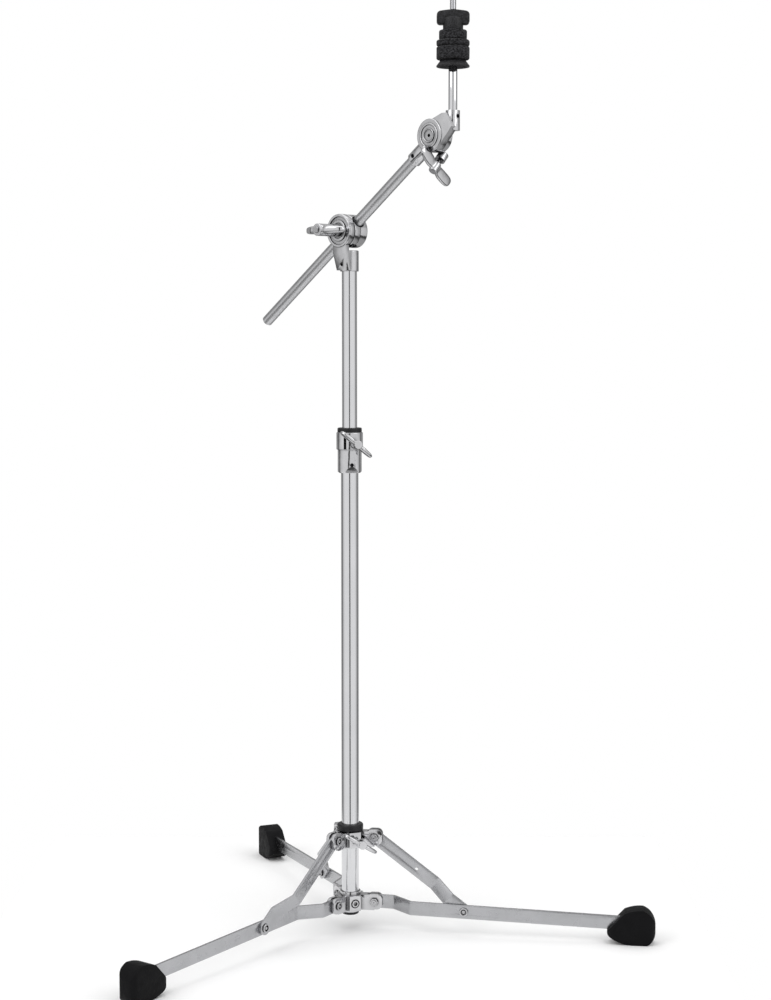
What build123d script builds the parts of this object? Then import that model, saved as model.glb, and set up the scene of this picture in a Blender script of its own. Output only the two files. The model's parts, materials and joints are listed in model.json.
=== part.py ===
from build123d import *
import os
from math import atan2, cos, degrees, hypot, radians, sin, tan

# Cymbal boom stand. Millimetres, +Z up, origin on the floor below the tube's axis.

# ------------------------------------------------------------------ clearances
running_gap = 0.05  # radial, between a shaft and the bore it turns or slides in
seat_gap = 0.05  # between pieces that are fixed together
moving_gap = 0.3  # between faces of pieces that move past each other

# ------------------------------------------------------------------ tubes
lower_tube_od = 22.2
upper_tube_od = 19.1
tube_wall = 1.2
lower_tube_bottom = 22.0
lower_tube_length = 597.0
upper_tube_length = 446.0
upper_tube_showing = 196.8  # between the height bush and the boom bracket

plug_head_height = 3.5
plug_spigot_height = 12.0
plug_round = 2.0

guide_height = 14.0
guide_spigot_height = 12.0

# ------------------------------------------------------------------ legs
leg_count = 3
first_leg_azimuth = -7.0
leg_pivot_radius = 32.0
leg_pivot_height = 36.0
rivet_radius = 149.0
rivet_height = 32.0
leg_reach = 360.0  # from the tube's axis to the end of the bar, inside the foot
bar_height = 17.5
bar_thickness = 3.2
bar_bend_radius = 5.0
leg_joggle_start = 25.0
leg_joggle_end = 49.0
leg_joggle = 22.0
brace_joggle_start = 98.0  # from the brace's upper end
brace_joggle_end = 122.0
brace_hole_d = 4.0
brace_hole_place = 68.0  # from the brace's upper end
leg_fold = 84.0  # degrees

rivet_d = 6.0
rivet_head_d = 11.0
rivet_head_height = 2.2

foot_grip = 29.5  # how much of the bar the foot covers
foot_inner_radius = leg_reach - foot_grip
foot_length = 61.0
foot_height = 44.6
foot_width = 26.0
foot_corner = 9.0  # rounding of its ends, seen from above
foot_flat_start = 33.0
foot_flat_end = 50.0
foot_nose_height = 17.0
foot_brow = 22.0  # where the slanted inner face meets the top
foot_crown = 45.0  # where the top starts to round down

# ------------------------------------------------------------------ collars
collar_height = 20.0
collar_wall = 3.9
collar_hub_d = lower_tube_od + 2 * collar_wall
pad_width = 15.5
pad_apothem = lower_tube_od / 2 + 6.1
ear_width = 12.2  # across both ears of a fork
ear_reach = 10.0
ear_round = 7.0
leg_collar_rim_d = lower_tube_od + 4.3
leg_collar_rim_height = 4.0
collar_bush_wall = 1.7
collar_bore_d = lower_tube_od + 2 * collar_bush_wall  # of the sliding collar
collar_bush_rim_d = lower_tube_od + 11.3
collar_bush_rim_height = 9.5
collar_bush_round = 2.5
slide_collar_height = 118.0  # middle of the sliding collar
pivot_bolt_d = 6.0
pivot_head_d = 9.5
pivot_head_height = 2.6
pivot_nut_flats = 9.0
pivot_nut_height = 3.2
pad_screw_d = 6.0
pad_screw_head_d = 9.0
pad_recess_d = 11.5
pad_recess_depth = 2.0

# ------------------------------------------------------------------ height clamp
clamp_socket_depth = 28.4  # how far the lower tube goes in
clamp_lower_d = lower_tube_od + 8.3
clamp_lower_height = 29.3
clamp_upper_d = lower_tube_od + 11.5
clamp_upper_height = 22.2
clamp_bush_d = upper_tube_od + 6.9
clamp_bush_rim_d = upper_tube_od + 11.9
clamp_bush_rim_height = 5.7
clamp_slit_azimuth = -109.5
clamp_slit = 3.6
clamp_screw_azimuth = -78.0
clamp_screw_height = 10.3  # above the bottom of the clamp
clamp_facet = 6.0

# ------------------------------------------------------------------ set screws
set_screw_d = 5.0
set_screw_flats = 2.5
set_screw_socket = 1.6
set_screw_recess = 0.5
pad_screw_socket_flats = 5.0
pad_screw_socket = 2.2
pad_screw_head_showing = 0.8

# ------------------------------------------------------------------ wing handles
wing_stud_d = 6.0
wing_hub_d = 11.0
wing_hub_length = 15.0
wing_half_span = 26.0
wing_sweep = 4.0
wing_root = 10.0
wing_tip = 6.0
wing_thickness = 6.0
collar_wing_azimuth = first_leg_azimuth - 180.0 / leg_count
collar_wing_roll = -32.0
clamp_wing_azimuth = -70.0
clamp_wing_roll = -39.0
collar_wing_neck = 12.0  # between the collar's pad and the handle's hub
clamp_wing_neck = 3.0

# ------------------------------------------------------------------ boom clamp
boom_azimuth = -45.0
boom_angle = 35.6
boom_rod_d = 14.0
boom_reach = 185.0  # from the clamp to the tilter's pivot
boom_tail = 193.4
boom_end_chamfer = 1.5
bracket_d = upper_tube_od + 4.6
bracket_socket_height = 26.2
bracket_screw_height = 9.0
bracket_to_boom = 24.2  # from the top of the socket to the boom's axis
eye_d = boom_rod_d + 8.0
eye_half_height = boom_rod_d / 2 + 2.0
drum_d = boom_rod_d + 27.5
drum_rear = eye_half_height + 3.5
drum_front = eye_half_height + 0.6
drum_seam = 0.3  # each half stays this far from the middle plane
drum_edge = 1.2
clamp_washer_d = 36.0
clamp_washer_height = 1.3
bracket_ear_d = drum_d + 0.5
bracket_ear_height = 7.0
bracket_stem_width = 22.0
bracket_stem_back = 7.5
bracket_boss_d = 24.0
bracket_boss_height = 1.6
eye_stud_d = 8.0
eye_stud_end = 57.5
boom_nut_hub_d = 16.0
boom_nut_end = 56.0
boom_nut_half_span = 33.0
boom_nut_sweep = 9.0
boom_nut_root = 14.0
boom_nut_tip = 8.0
boom_nut_thickness = 9.0

# ------------------------------------------------------------------ tilter
tilter_drum_d = 39.0
tilter_head_d = 40.0
tilter_rear = 8.5
tilter_front = 13.0
tilter_seam = 0.2
tilter_edge = 1.2
journal_d = 24.0
journal_depth = 6.0
tilter_socket_d = boom_rod_d + 4.5
tilter_socket_start = 45.0  # from the pivot back along the boom
tilter_socket_depth = 23.0
tilter_screw_inset = 7.0
tilter_pivot_d = 8.0
tilter_pivot_nut_flats = 13.0
tilter_pivot_nut_height = 4.0
tilter_pivot_socket_flats = 4.0
tilter_pivot_socket_depth = 3.0
tilter_pivot_head_d = 12.4
tilter_pivot_head_height = 1.8
tilter_pivot_recess_d = 13.0
tilter_pivot_recess = 2.0
tilter_pivot_end = 1.0  # past its nut
shoe_width = 7.0
tilter_wing_angle = 48.0  # below level
tilter_wing_side = 3.0  # where the middle of its wings lies
tilter_wing_drop = 38.5
tilter_wing_half_span = 31.0
tilter_wing_hub_length = 13.0
tilter_boss_d = 13.0
tilter_boss_near = 14.0
tilter_boss_far = 24.0
tilter_arm_front = 11.5
post_offset = 27.1
post_socket_d = 17.0
post_socket_bottom = 4.6  # above the tilter's pivot
post_socket_top = 28.1
post_depth = 20.0

# ------------------------------------------------------------------ cymbal post
post_d = 10.6
post_thread_d = 8.0
seat_rise = 79.0  # from the tilter's pivot to the seat's rim
seat_height = 8.4
seat_rim_d = 39.8
seat_top_d = 29.0
seat_wall = 2.2
felt_d = 39.6
lower_felt_height = 15.5
felt_gap = 0.4
upper_felt_height = 7.2
small_felt_d = 33.4
small_felt_height = 11.6
sleeve_d = 12.0
nut_hub_d = 24.0
nut_hub_height = 6.0
nut_width = 38.8
nut_depth = 13.0
nut_height = 17.4
nut_crown = 3.0
post_tip_showing = 16.0
post_tip_chamfer = 1.0

os.makedirs("parts", exist_ok=True)


def save(builder, name):
    """Label a finished piece and write it."""
    builder.part.label = name
    export_step(builder.part, f"parts/{name}.step")


def outward(azimuth):
    """Level direction that points away from the tube at this azimuth."""
    return Vector(cos(radians(azimuth)), sin(radians(azimuth)), 0)


def rightward(azimuth):
    """Level direction to the right of someone who looks outward at this azimuth."""
    return Vector(sin(radians(azimuth)), -cos(radians(azimuth)), 0)


UP = Vector(0, 0, 1)


def upright_plane(azimuth, radius=0.0, height=0.0, side=0.0, slope=0.0):
    """Plane whose x runs outward, turned up by slope, whose y is up and whose normal is rightward."""
    along = outward(azimuth) * cos(radians(slope)) + UP * sin(radians(slope))
    origin = outward(azimuth) * radius + rightward(azimuth) * side + UP * height
    return Plane(origin=origin, x_dir=along, z_dir=rightward(azimuth))


def facing_plane(azimuth, radius=0.0, height=0.0, roll=0.0):
    """Plane whose normal runs outward at this azimuth and whose x is level, turned by roll."""
    across = rightward(azimuth) * -cos(radians(roll)) + UP * sin(radians(roll))
    origin = outward(azimuth) * radius + UP * height
    return Plane(origin=origin, x_dir=across, z_dir=outward(azimuth))


# ------------------------------------------------------------------ derived places
leg_azimuths = [first_leg_azimuth + 360.0 / leg_count * i for i in range(leg_count)]
leg_slope = degrees(atan2(rivet_height - leg_pivot_height, rivet_radius - leg_pivot_radius))
leg_rivet_distance = hypot(rivet_radius - leg_pivot_radius, rivet_height - leg_pivot_height)
leg_length = (leg_reach - leg_pivot_radius) / cos(radians(leg_slope))
brace_run = rivet_radius - leg_pivot_radius
brace_pivot_height = slide_collar_height + 2.6
brace_drop = brace_pivot_height - rivet_height
brace_length = hypot(brace_run, brace_drop)
brace_slope = degrees(atan2(-brace_drop, brace_run))
brace_joggle = leg_joggle - bar_thickness - moving_gap
fork_gap = bar_thickness + 2 * moving_gap

lower_tube_id = lower_tube_od - 2 * tube_wall
upper_tube_id = upper_tube_od - 2 * tube_wall
lower_tube_top = lower_tube_bottom + lower_tube_length
clamp_bottom = lower_tube_top - clamp_socket_depth
clamp_shoulder = clamp_bottom + clamp_lower_height
clamp_top = clamp_shoulder + clamp_upper_height
clamp_rim_top = clamp_top + clamp_bush_rim_height
clamp_wing_height = clamp_shoulder + 0.35 * clamp_upper_height
bracket_bottom = clamp_rim_top + upper_tube_showing
bracket_top = bracket_bottom + bracket_socket_height
upper_tube_top = bracket_top - 3.0
upper_tube_bottom = upper_tube_top - upper_tube_length
boom_height = bracket_top + bracket_to_boom
boom_centre = UP * boom_height

boom_out = outward(boom_azimuth)
boom_side = rightward(boom_azimuth)
boom_along = boom_out * cos(radians(boom_angle)) + UP * sin(radians(boom_angle))
tilter_radius = boom_reach * cos(radians(boom_angle))
tilter_height = boom_height + boom_reach * sin(radians(boom_angle))
boom_socket_floor = boom_reach - tilter_socket_start + tilter_socket_depth
washer_back = drum_front + moving_gap
ear_back = washer_back + clamp_washer_height
ear_front = ear_back + bracket_ear_height
boom_nut_back = ear_front + bracket_boss_height + moving_gap

post_radius = tilter_radius + post_offset
seat_bottom = tilter_height + seat_rise
seat_top = seat_bottom + seat_height
post_shoulder = seat_bottom + seat_height / 2
lower_felt_top = seat_top + lower_felt_height
upper_felt_bottom = lower_felt_top + felt_gap
upper_felt_top = upper_felt_bottom + upper_felt_height
small_felt_top = upper_felt_top + small_felt_height
nut_bottom = small_felt_top + moving_gap
nut_top = nut_bottom + nut_hub_height + nut_height
post_tip = nut_top + post_tip_showing


def tube(name, outer_d, inner_d, bottom, length):
    """A round tube on the stand's axis, its ends broken."""
    with BuildPart() as piece:
        with BuildSketch(Plane.XY.offset(bottom)):
            Circle(outer_d / 2)
            Circle(inner_d / 2, mode=Mode.SUBTRACT)
        extrude(amount=length)
        chamfer(piece.edges().filter_by(GeomType.CIRCLE), 0.3)
    save(piece, name)


def set_screw(name, plane, length):
    """A socket set screw; the plane lies on its outer end and faces out of the casting."""
    with BuildPart() as piece:
        with BuildSketch(plane):
            Circle(set_screw_d / 2)
        extrude(amount=-length)
        with BuildSketch(plane):
            RegularPolygon(set_screw_flats / 2, 6, major_radius=False)
        extrude(amount=-set_screw_socket, mode=Mode.SUBTRACT)
    save(piece, name)


def wing_handle(name, plane, hub_length, half_span, stud_length):
    """A wing bolt: hub along the plane's normal, wings along its x axis, stud behind the plane."""
    wing_plane = Plane(origin=plane.origin, x_dir=plane.x_dir, z_dir=plane.y_dir * -1)
    with BuildPart() as piece:
        with BuildSketch(plane):
            Circle(wing_hub_d / 2)
        extrude(amount=hub_length)
        chamfer(piece.edges().filter_by(GeomType.CIRCLE), 1.0)
        for side in (-1, 1):
            with BuildSketch(wing_plane):
                with Locations((0, hub_length - wing_root / 2)):
                    Circle(wing_root / 2)
                with Locations((side * (half_span - wing_tip / 2), hub_length - wing_tip / 2 - wing_sweep)):
                    Circle(wing_tip / 2)
                make_hull()
            extrude(amount=wing_thickness / 2, both=True)
        with BuildSketch(plane):
            Circle(wing_stud_d / 2)
        extrude(amount=-stud_length)
    save(piece, name)


# ------------------------------------------------------------------ lower tube and plug
tube("lower_tube", lower_tube_od, lower_tube_id, lower_tube_bottom, lower_tube_length)

with BuildPart() as tube_end_plug:
    with BuildSketch(Plane.XY.offset(lower_tube_bottom)):
        Circle(lower_tube_id / 2 - seat_gap)
    extrude(amount=plug_spigot_height)
    with BuildSketch(Plane.XY.offset(lower_tube_bottom)):
        Circle(lower_tube_od / 2)
    extrude(amount=-plug_head_height)
    fillet(tube_end_plug.edges().filter_by(GeomType.CIRCLE).sort_by(Axis.Z)[0], plug_round)
save(tube_end_plug, "tube_end_plug")


# ------------------------------------------------------------------ collars
def forked_collar(name, pivot_height, middle, bore_d, rim_d, rim_height, recess):
    """A collar with a fork for each leg and a flat pad between each two forks."""
    bottom = middle - collar_height / 2
    front_pad = facing_plane(collar_wing_azimuth, pad_apothem, middle)
    with BuildPart() as piece:
        with BuildSketch(Plane.XY.offset(bottom)):
            Circle(collar_hub_d / 2)
            with PolarLocations(pad_apothem / 2, leg_count, first_leg_azimuth + 180.0 / leg_count):
                Rectangle(pad_apothem, pad_width)
        extrude(amount=collar_height)
        if rim_height:
            with BuildSketch(Plane.XY.offset(bottom + collar_height)):
                Circle(rim_d / 2)
            extrude(amount=rim_height)
        for azimuth in leg_azimuths:
            fork_plane = upright_plane(azimuth, leg_pivot_radius, pivot_height)
            root = leg_pivot_radius
            with BuildSketch(fork_plane):
                RectangleRounded(2 * ear_reach, collar_height, ear_round)
                with Locations((-root / 2, middle - pivot_height)):
                    Rectangle(root, collar_height)
            extrude(amount=ear_width / 2, both=True)
        for azimuth in leg_azimuths:
            fork_plane = upright_plane(azimuth, leg_pivot_radius, pivot_height)
            with BuildSketch(fork_plane):
                with Locations((-bar_height / 2 - 2 * moving_gap, 0)):
                    Rectangle(2 * leg_pivot_radius, 3 * collar_height, align=(Align.MIN, Align.CENTER))
            extrude(amount=fork_gap / 2, both=True, mode=Mode.SUBTRACT)
            with BuildSketch(fork_plane):
                Circle(pivot_bolt_d / 2 + seat_gap)
            extrude(amount=ear_width, both=True, mode=Mode.SUBTRACT)
        with BuildSketch(Plane.XY.offset(bottom)):
            Circle(bore_d / 2)
        extrude(amount=collar_height + rim_height, mode=Mode.SUBTRACT)
        with BuildSketch(front_pad):
            Circle(pad_screw_d / 2 + running_gap)
        extrude(amount=-(pad_apothem - lower_tube_od / 2), mode=Mode.SUBTRACT)
        if recess:
            with BuildSketch(front_pad):
                Circle(pad_recess_d / 2)
            extrude(amount=-pad_recess_depth, mode=Mode.SUBTRACT)
    save(piece, name)


leg_collar_middle = leg_pivot_height - 1.0
forked_collar("leg_collar", leg_pivot_height, leg_collar_middle, lower_tube_od + 2 * seat_gap,
              leg_collar_rim_d, leg_collar_rim_height, True)
forked_collar("slide_collar", brace_pivot_height, slide_collar_height, collar_bore_d,
              collar_bush_rim_d, 0, False)

slide_collar_top = slide_collar_height + collar_height / 2
with BuildPart() as collar_bush:
    with BuildSketch(Plane.XY.offset(slide_collar_top - collar_height)):
        Circle(collar_bore_d / 2 - seat_gap)
    extrude(amount=collar_height)
    with BuildSketch(Plane.XY.offset(slide_collar_top)):
        Circle(collar_bush_rim_d / 2)
    extrude(amount=collar_bush_rim_height)
    rim_edges = collar_bush.edges().filter_by(GeomType.CIRCLE).filter_by_position(
        Axis.Z, slide_collar_top - 0.1, slide_collar_top + collar_bush_rim_height + 0.1)
    fillet(rim_edges.group_by(SortBy.RADIUS)[-1], collar_bush_round)
    with BuildSketch(Plane.XY.offset(slide_collar_top - collar_height)):
        Circle(lower_tube_od / 2 + running_gap)
    extrude(amount=collar_height + collar_bush_rim_height, mode=Mode.SUBTRACT)
    with BuildSketch(facing_plane(collar_wing_azimuth, 0, slide_collar_height)):
        Circle(pad_screw_d / 2 + running_gap)
    extrude(amount=collar_hub_d, mode=Mode.SUBTRACT)
save(collar_bush, "collar_bush")

with BuildPart() as leg_collar_screw:
    screw_floor = facing_plane(collar_wing_azimuth, pad_apothem - pad_recess_depth, leg_collar_middle)
    with BuildSketch(screw_floor):
        Circle(pad_screw_d / 2)
    extrude(amount=-(pad_apothem - pad_recess_depth - lower_tube_od / 2 - seat_gap))
    with BuildSketch(screw_floor):
        Circle(pad_screw_head_d / 2)
    extrude(amount=pad_recess_depth + pad_screw_head_showing)
    head_face = leg_collar_screw.faces().sort_by(Axis(screw_floor.origin, screw_floor.z_dir))[-1]
    fillet(head_face.edges(), 0.6)
    with BuildSketch(screw_floor.offset(pad_recess_depth + pad_screw_head_showing)):
        RegularPolygon(pad_screw_socket_flats / 2, 6, major_radius=False)
    extrude(amount=-pad_screw_socket, mode=Mode.SUBTRACT)
save(leg_collar_screw, "leg_collar_screw")


def pivot_bolts(name, height):
    """Shoulder bolts through the forks, heads on the left, one for each leg."""
    with BuildPart() as bolts:
        for azimuth in leg_azimuths:
            head_face = upright_plane(azimuth, leg_pivot_radius, height, -ear_width / 2)
            with BuildSketch(head_face):
                Circle(pivot_bolt_d / 2)
            extrude(amount=ear_width + pivot_nut_height + 0.8)
            with BuildSketch(head_face):
                Circle(pivot_head_d / 2)
            extrude(amount=-pivot_head_height, taper=18)
    save(bolts, name)


def pivot_nuts(name, height):
    """The nuts of the shoulder bolts."""
    with BuildPart() as nuts:
        for azimuth in leg_azimuths:
            with BuildSketch(upright_plane(azimuth, leg_pivot_radius, height, ear_width / 2)):
                RegularPolygon(pivot_nut_flats / 2, 6, major_radius=False)
                Circle(pivot_bolt_d / 2 + seat_gap, mode=Mode.SUBTRACT)
            extrude(amount=pivot_nut_height)
    save(nuts, name)


pivot_bolts("leg_pivot_bolts", leg_pivot_height)
pivot_nuts("leg_pivot_nuts", leg_pivot_height)
pivot_bolts("brace_pivot_bolts", brace_pivot_height)
pivot_nuts("brace_pivot_nuts", brace_pivot_height)


# ------------------------------------------------------------------ legs and braces
def joggled_bar(name, plane, length, start, end, joggle, holes):
    """A flat bar. The plane is at its pivot: x along the bar, y up, normal to the joggled side.
    Each of the holes has its distance from the pivot and its diameter."""
    plan = Plane(origin=plane.origin, x_dir=plane.x_dir, z_dir=plane.y_dir)
    half = bar_thickness / 2
    corner = half * tan(atan2(joggle, end - start) / 2)
    with BuildPart() as piece:
        with BuildSketch(plan) as outline:
            with BuildLine():
                Polyline(
                    (-bar_height, half), (start + corner, half), (end + corner, half - joggle),
                    (length + bar_height, half - joggle), (length + bar_height, -half - joggle),
                    (end - corner, -half - joggle), (start - corner, -half), (-bar_height, -half),
                    close=True)
            make_face()
            bends = outline.vertices().filter_by_position(Axis.X, start - 5, end + 5)
            fillet(bends, bar_bend_radius)
        extrude(amount=bar_height / 2, both=True)
        with BuildSketch(plane):
            with Locations((length / 2, 0)):
                SlotCenterToCenter(length, bar_height)
        extrude(amount=2 * joggle, both=True, mode=Mode.INTERSECT)
        with BuildSketch(plane):
            for place, hole_d in holes:
                with Locations((place, 0)):
                    Circle(hole_d / 2)
        extrude(amount=2 * joggle, both=True, mode=Mode.SUBTRACT)
    save(piece, name)


def rivet(name, plane, shank):
    """Half of a rivet: the plane is under its head, the shank runs behind the plane."""
    with BuildPart() as piece:
        with BuildSketch(plane):
            Circle(rivet_head_d / 2)
        extrude(amount=rivet_head_height, taper=25)
        with BuildSketch(plane):
            Circle(rivet_d / 2)
        extrude(amount=-shank)
    save(piece, name)


def rubber_foot(name, azimuth):
    """A foot on the end of a leg: slanted inner face, round outer end, flat sole."""
    side_plane = upright_plane(azimuth, foot_inner_radius, 0, leg_joggle)
    middle = outward(azimuth) * (foot_inner_radius + foot_length / 2) + rightward(azimuth) * leg_joggle
    plan = Plane(origin=middle, x_dir=outward(azimuth), z_dir=UP)
    leg_plane = upright_plane(azimuth, leg_pivot_radius, leg_pivot_height, leg_joggle, leg_slope)
    nose_bottom = 0.55 * foot_nose_height
    with BuildPart() as piece:
        with BuildSketch(side_plane):
            with BuildLine():
                sole = Line((foot_flat_start, 0), (foot_flat_end, 0))
                heel = ThreePointArc(sole @ 1, (foot_length - 3.0, 6.5), (foot_length, 18.0))
                back = ThreePointArc(heel @ 1, (foot_length - 3.6, 35.0), (foot_crown, foot_height))
                top = ThreePointArc(back @ 1, (foot_crown - 10.0, foot_height - 0.6),
                                    (foot_brow, foot_height - 4.5))
                slant = Line(top @ 1, (0.8, foot_nose_height))
                nose = ThreePointArc(slant @ 1, (0.4, foot_nose_height - 3.5), (3.5, nose_bottom))
                ThreePointArc(nose @ 1, (foot_flat_start / 2, 3.0), sole @ 0)
            make_face()
        extrude(amount=foot_width / 2, both=True)
        with BuildSketch(plan):
            RectangleRounded(foot_length, foot_width, foot_corner)
        extrude(amount=foot_height + 1, mode=Mode.INTERSECT)
        pocket = foot_inner_radius - leg_pivot_radius - 5
        with BuildSketch(leg_plane):
            with Locations((pocket, 0)):
                Rectangle(leg_length - pocket, bar_height + 2 * seat_gap, align=(Align.MIN, Align.CENTER))
            with Locations((leg_length, 0)):
                Circle(bar_height / 2 + seat_gap)
        extrude(amount=bar_thickness / 2 + seat_gap, both=True, mode=Mode.SUBTRACT)
    save(piece, name)


pivot_hole_d = pivot_bolt_d + 2 * running_gap
rivet_hole_d = rivet_d + 2 * running_gap
for number, azimuth in enumerate(leg_azimuths, 1):
    pivot_plane = upright_plane(azimuth, leg_pivot_radius, leg_pivot_height, 0, leg_slope)
    joggled_bar(f"leg_{number}", pivot_plane, leg_length, leg_joggle_start, leg_joggle_end,
                leg_joggle, [(0, pivot_hole_d), (leg_rivet_distance, rivet_hole_d)])
    rubber_foot(f"foot_{number}", azimuth)
    leg_face = leg_joggle + bar_thickness / 2
    leg_rivet_plane = upright_plane(azimuth, rivet_radius, rivet_height, leg_face)
    rivet(f"leg_rivet_{number}", leg_rivet_plane, bar_thickness)
    brace_plane = upright_plane(azimuth, leg_pivot_radius, brace_pivot_height, 0, brace_slope)
    joggled_bar(f"brace_{number}", brace_plane, brace_length, brace_joggle_start,
                brace_joggle_end, brace_joggle,
                [(0, pivot_hole_d), (brace_hole_place, brace_hole_d), (brace_length, rivet_hole_d)])
    brace_face = upright_plane(azimuth, rivet_radius, rivet_height, brace_joggle - bar_thickness / 2)
    rivet(f"brace_rivet_{number}", Plane(origin=brace_face.origin, x_dir=brace_face.x_dir,
                                         z_dir=brace_face.z_dir * -1), bar_thickness)

# ------------------------------------------------------------------ wing bolts of the base
collar_wing_radius = pad_apothem + collar_wing_neck
collar_wing_plane = facing_plane(collar_wing_azimuth, collar_wing_radius, slide_collar_height, collar_wing_roll)
wing_handle("collar_wing_bolt", collar_wing_plane, wing_hub_length, wing_half_span,
            collar_wing_radius - lower_tube_od / 2 - moving_gap)

clamp_wing_radius = clamp_upper_d / 2 + clamp_wing_neck
clamp_wing_plane = facing_plane(clamp_wing_azimuth, clamp_wing_radius, clamp_wing_height, clamp_wing_roll)
wing_handle("height_wing_bolt", clamp_wing_plane, wing_hub_length, wing_half_span,
            clamp_wing_radius - clamp_bush_d / 2 - moving_gap)

# ------------------------------------------------------------------ height clamp
clamp_screw_plane = facing_plane(clamp_screw_azimuth, clamp_lower_d / 2 - set_screw_recess,
                                 clamp_bottom + clamp_screw_height)
with BuildPart() as height_clamp:
    with BuildSketch(Plane.XY.offset(clamp_bottom)):
        Circle(clamp_lower_d / 2)
    extrude(amount=clamp_lower_height)
    bottom_edge = height_clamp.edges().filter_by(GeomType.CIRCLE).sort_by(Axis.Z)[0]
    chamfer(bottom_edge, 1.6)
    with BuildSketch(Plane.XY.offset(clamp_shoulder)):
        Circle(clamp_upper_d / 2)
    extrude(amount=clamp_upper_height)
    outer_rings = height_clamp.edges().filter_by(GeomType.CIRCLE).group_by(SortBy.RADIUS)[-1]
    fillet(outer_rings, 1.2)
    with BuildSketch(upright_plane(clamp_screw_azimuth, clamp_lower_d / 2, clamp_bottom)):
        with BuildLine():
            Polyline((-clamp_facet / 2, 0), (0, clamp_facet * 1.4), (clamp_facet, clamp_facet),
                     (clamp_facet, 0), close=True)
        make_face()
    extrude(amount=clamp_lower_d, both=True, mode=Mode.SUBTRACT)
    with BuildSketch(Plane.XY.offset(clamp_bottom)):
        Circle(lower_tube_od / 2 + seat_gap)
    extrude(amount=clamp_socket_depth, mode=Mode.SUBTRACT)
    with BuildSketch(Plane.XY.offset(lower_tube_top)):
        Circle(clamp_bush_d / 2 + seat_gap)
    extrude(amount=clamp_top - lower_tube_top, mode=Mode.SUBTRACT)
    with BuildSketch(facing_plane(clamp_slit_azimuth, 0, clamp_shoulder + 1.0)):
        Rectangle(clamp_slit, clamp_upper_height, align=(Align.CENTER, Align.MIN))
    extrude(amount=clamp_upper_d, mode=Mode.SUBTRACT)
    with BuildSketch(facing_plane(clamp_wing_azimuth, 0, clamp_wing_height)):
        Circle(wing_stud_d / 2 + running_gap)
    extrude(amount=clamp_upper_d, mode=Mode.SUBTRACT)
    with BuildSketch(facing_plane(clamp_screw_azimuth, 0, clamp_bottom + clamp_screw_height)):
        Circle(set_screw_d / 2 + seat_gap)
    extrude(amount=clamp_lower_d, mode=Mode.SUBTRACT)
save(height_clamp, "height_clamp")

with BuildPart() as height_bush:
    with BuildSketch(Plane.XY.offset(lower_tube_top)):
        Circle(clamp_bush_d / 2)
    extrude(amount=clamp_top - lower_tube_top)
    with BuildSketch(Plane.XY.offset(clamp_top)):
        Circle(clamp_bush_rim_d / 2)
    extrude(amount=clamp_bush_rim_height)
    fillet(height_bush.edges().filter_by(GeomType.CIRCLE).sort_by(Axis.Z)[-1], 1.5)
    with BuildSketch(Plane.XY.offset(lower_tube_top)):
        Circle(upper_tube_od / 2 + running_gap)
    extrude(amount=clamp_rim_top - lower_tube_top, mode=Mode.SUBTRACT)
save(height_bush, "height_bush")

set_screw("height_clamp_screw", clamp_screw_plane,
          clamp_lower_d / 2 - set_screw_recess - lower_tube_od / 2 - seat_gap)

# ------------------------------------------------------------------ upper column
tube("upper_tube", upper_tube_od, upper_tube_id, upper_tube_bottom, upper_tube_length)

with BuildPart() as tube_guide_bush:
    with BuildSketch(Plane.XY.offset(upper_tube_bottom - guide_height)):
        Circle(lower_tube_id / 2 - running_gap)
    extrude(amount=guide_height - running_gap)
    with BuildSketch(Plane.XY.offset(upper_tube_bottom - guide_height)):
        Circle(upper_tube_id / 2 - running_gap)
    extrude(amount=guide_height + guide_spigot_height)
    with BuildSketch(Plane.XY.offset(upper_tube_bottom - guide_height)):
        Circle(upper_tube_id / 2 - 3)
    extrude(amount=guide_height + guide_spigot_height, mode=Mode.SUBTRACT)
save(tube_guide_bush, "tube_guide_bush")

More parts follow.
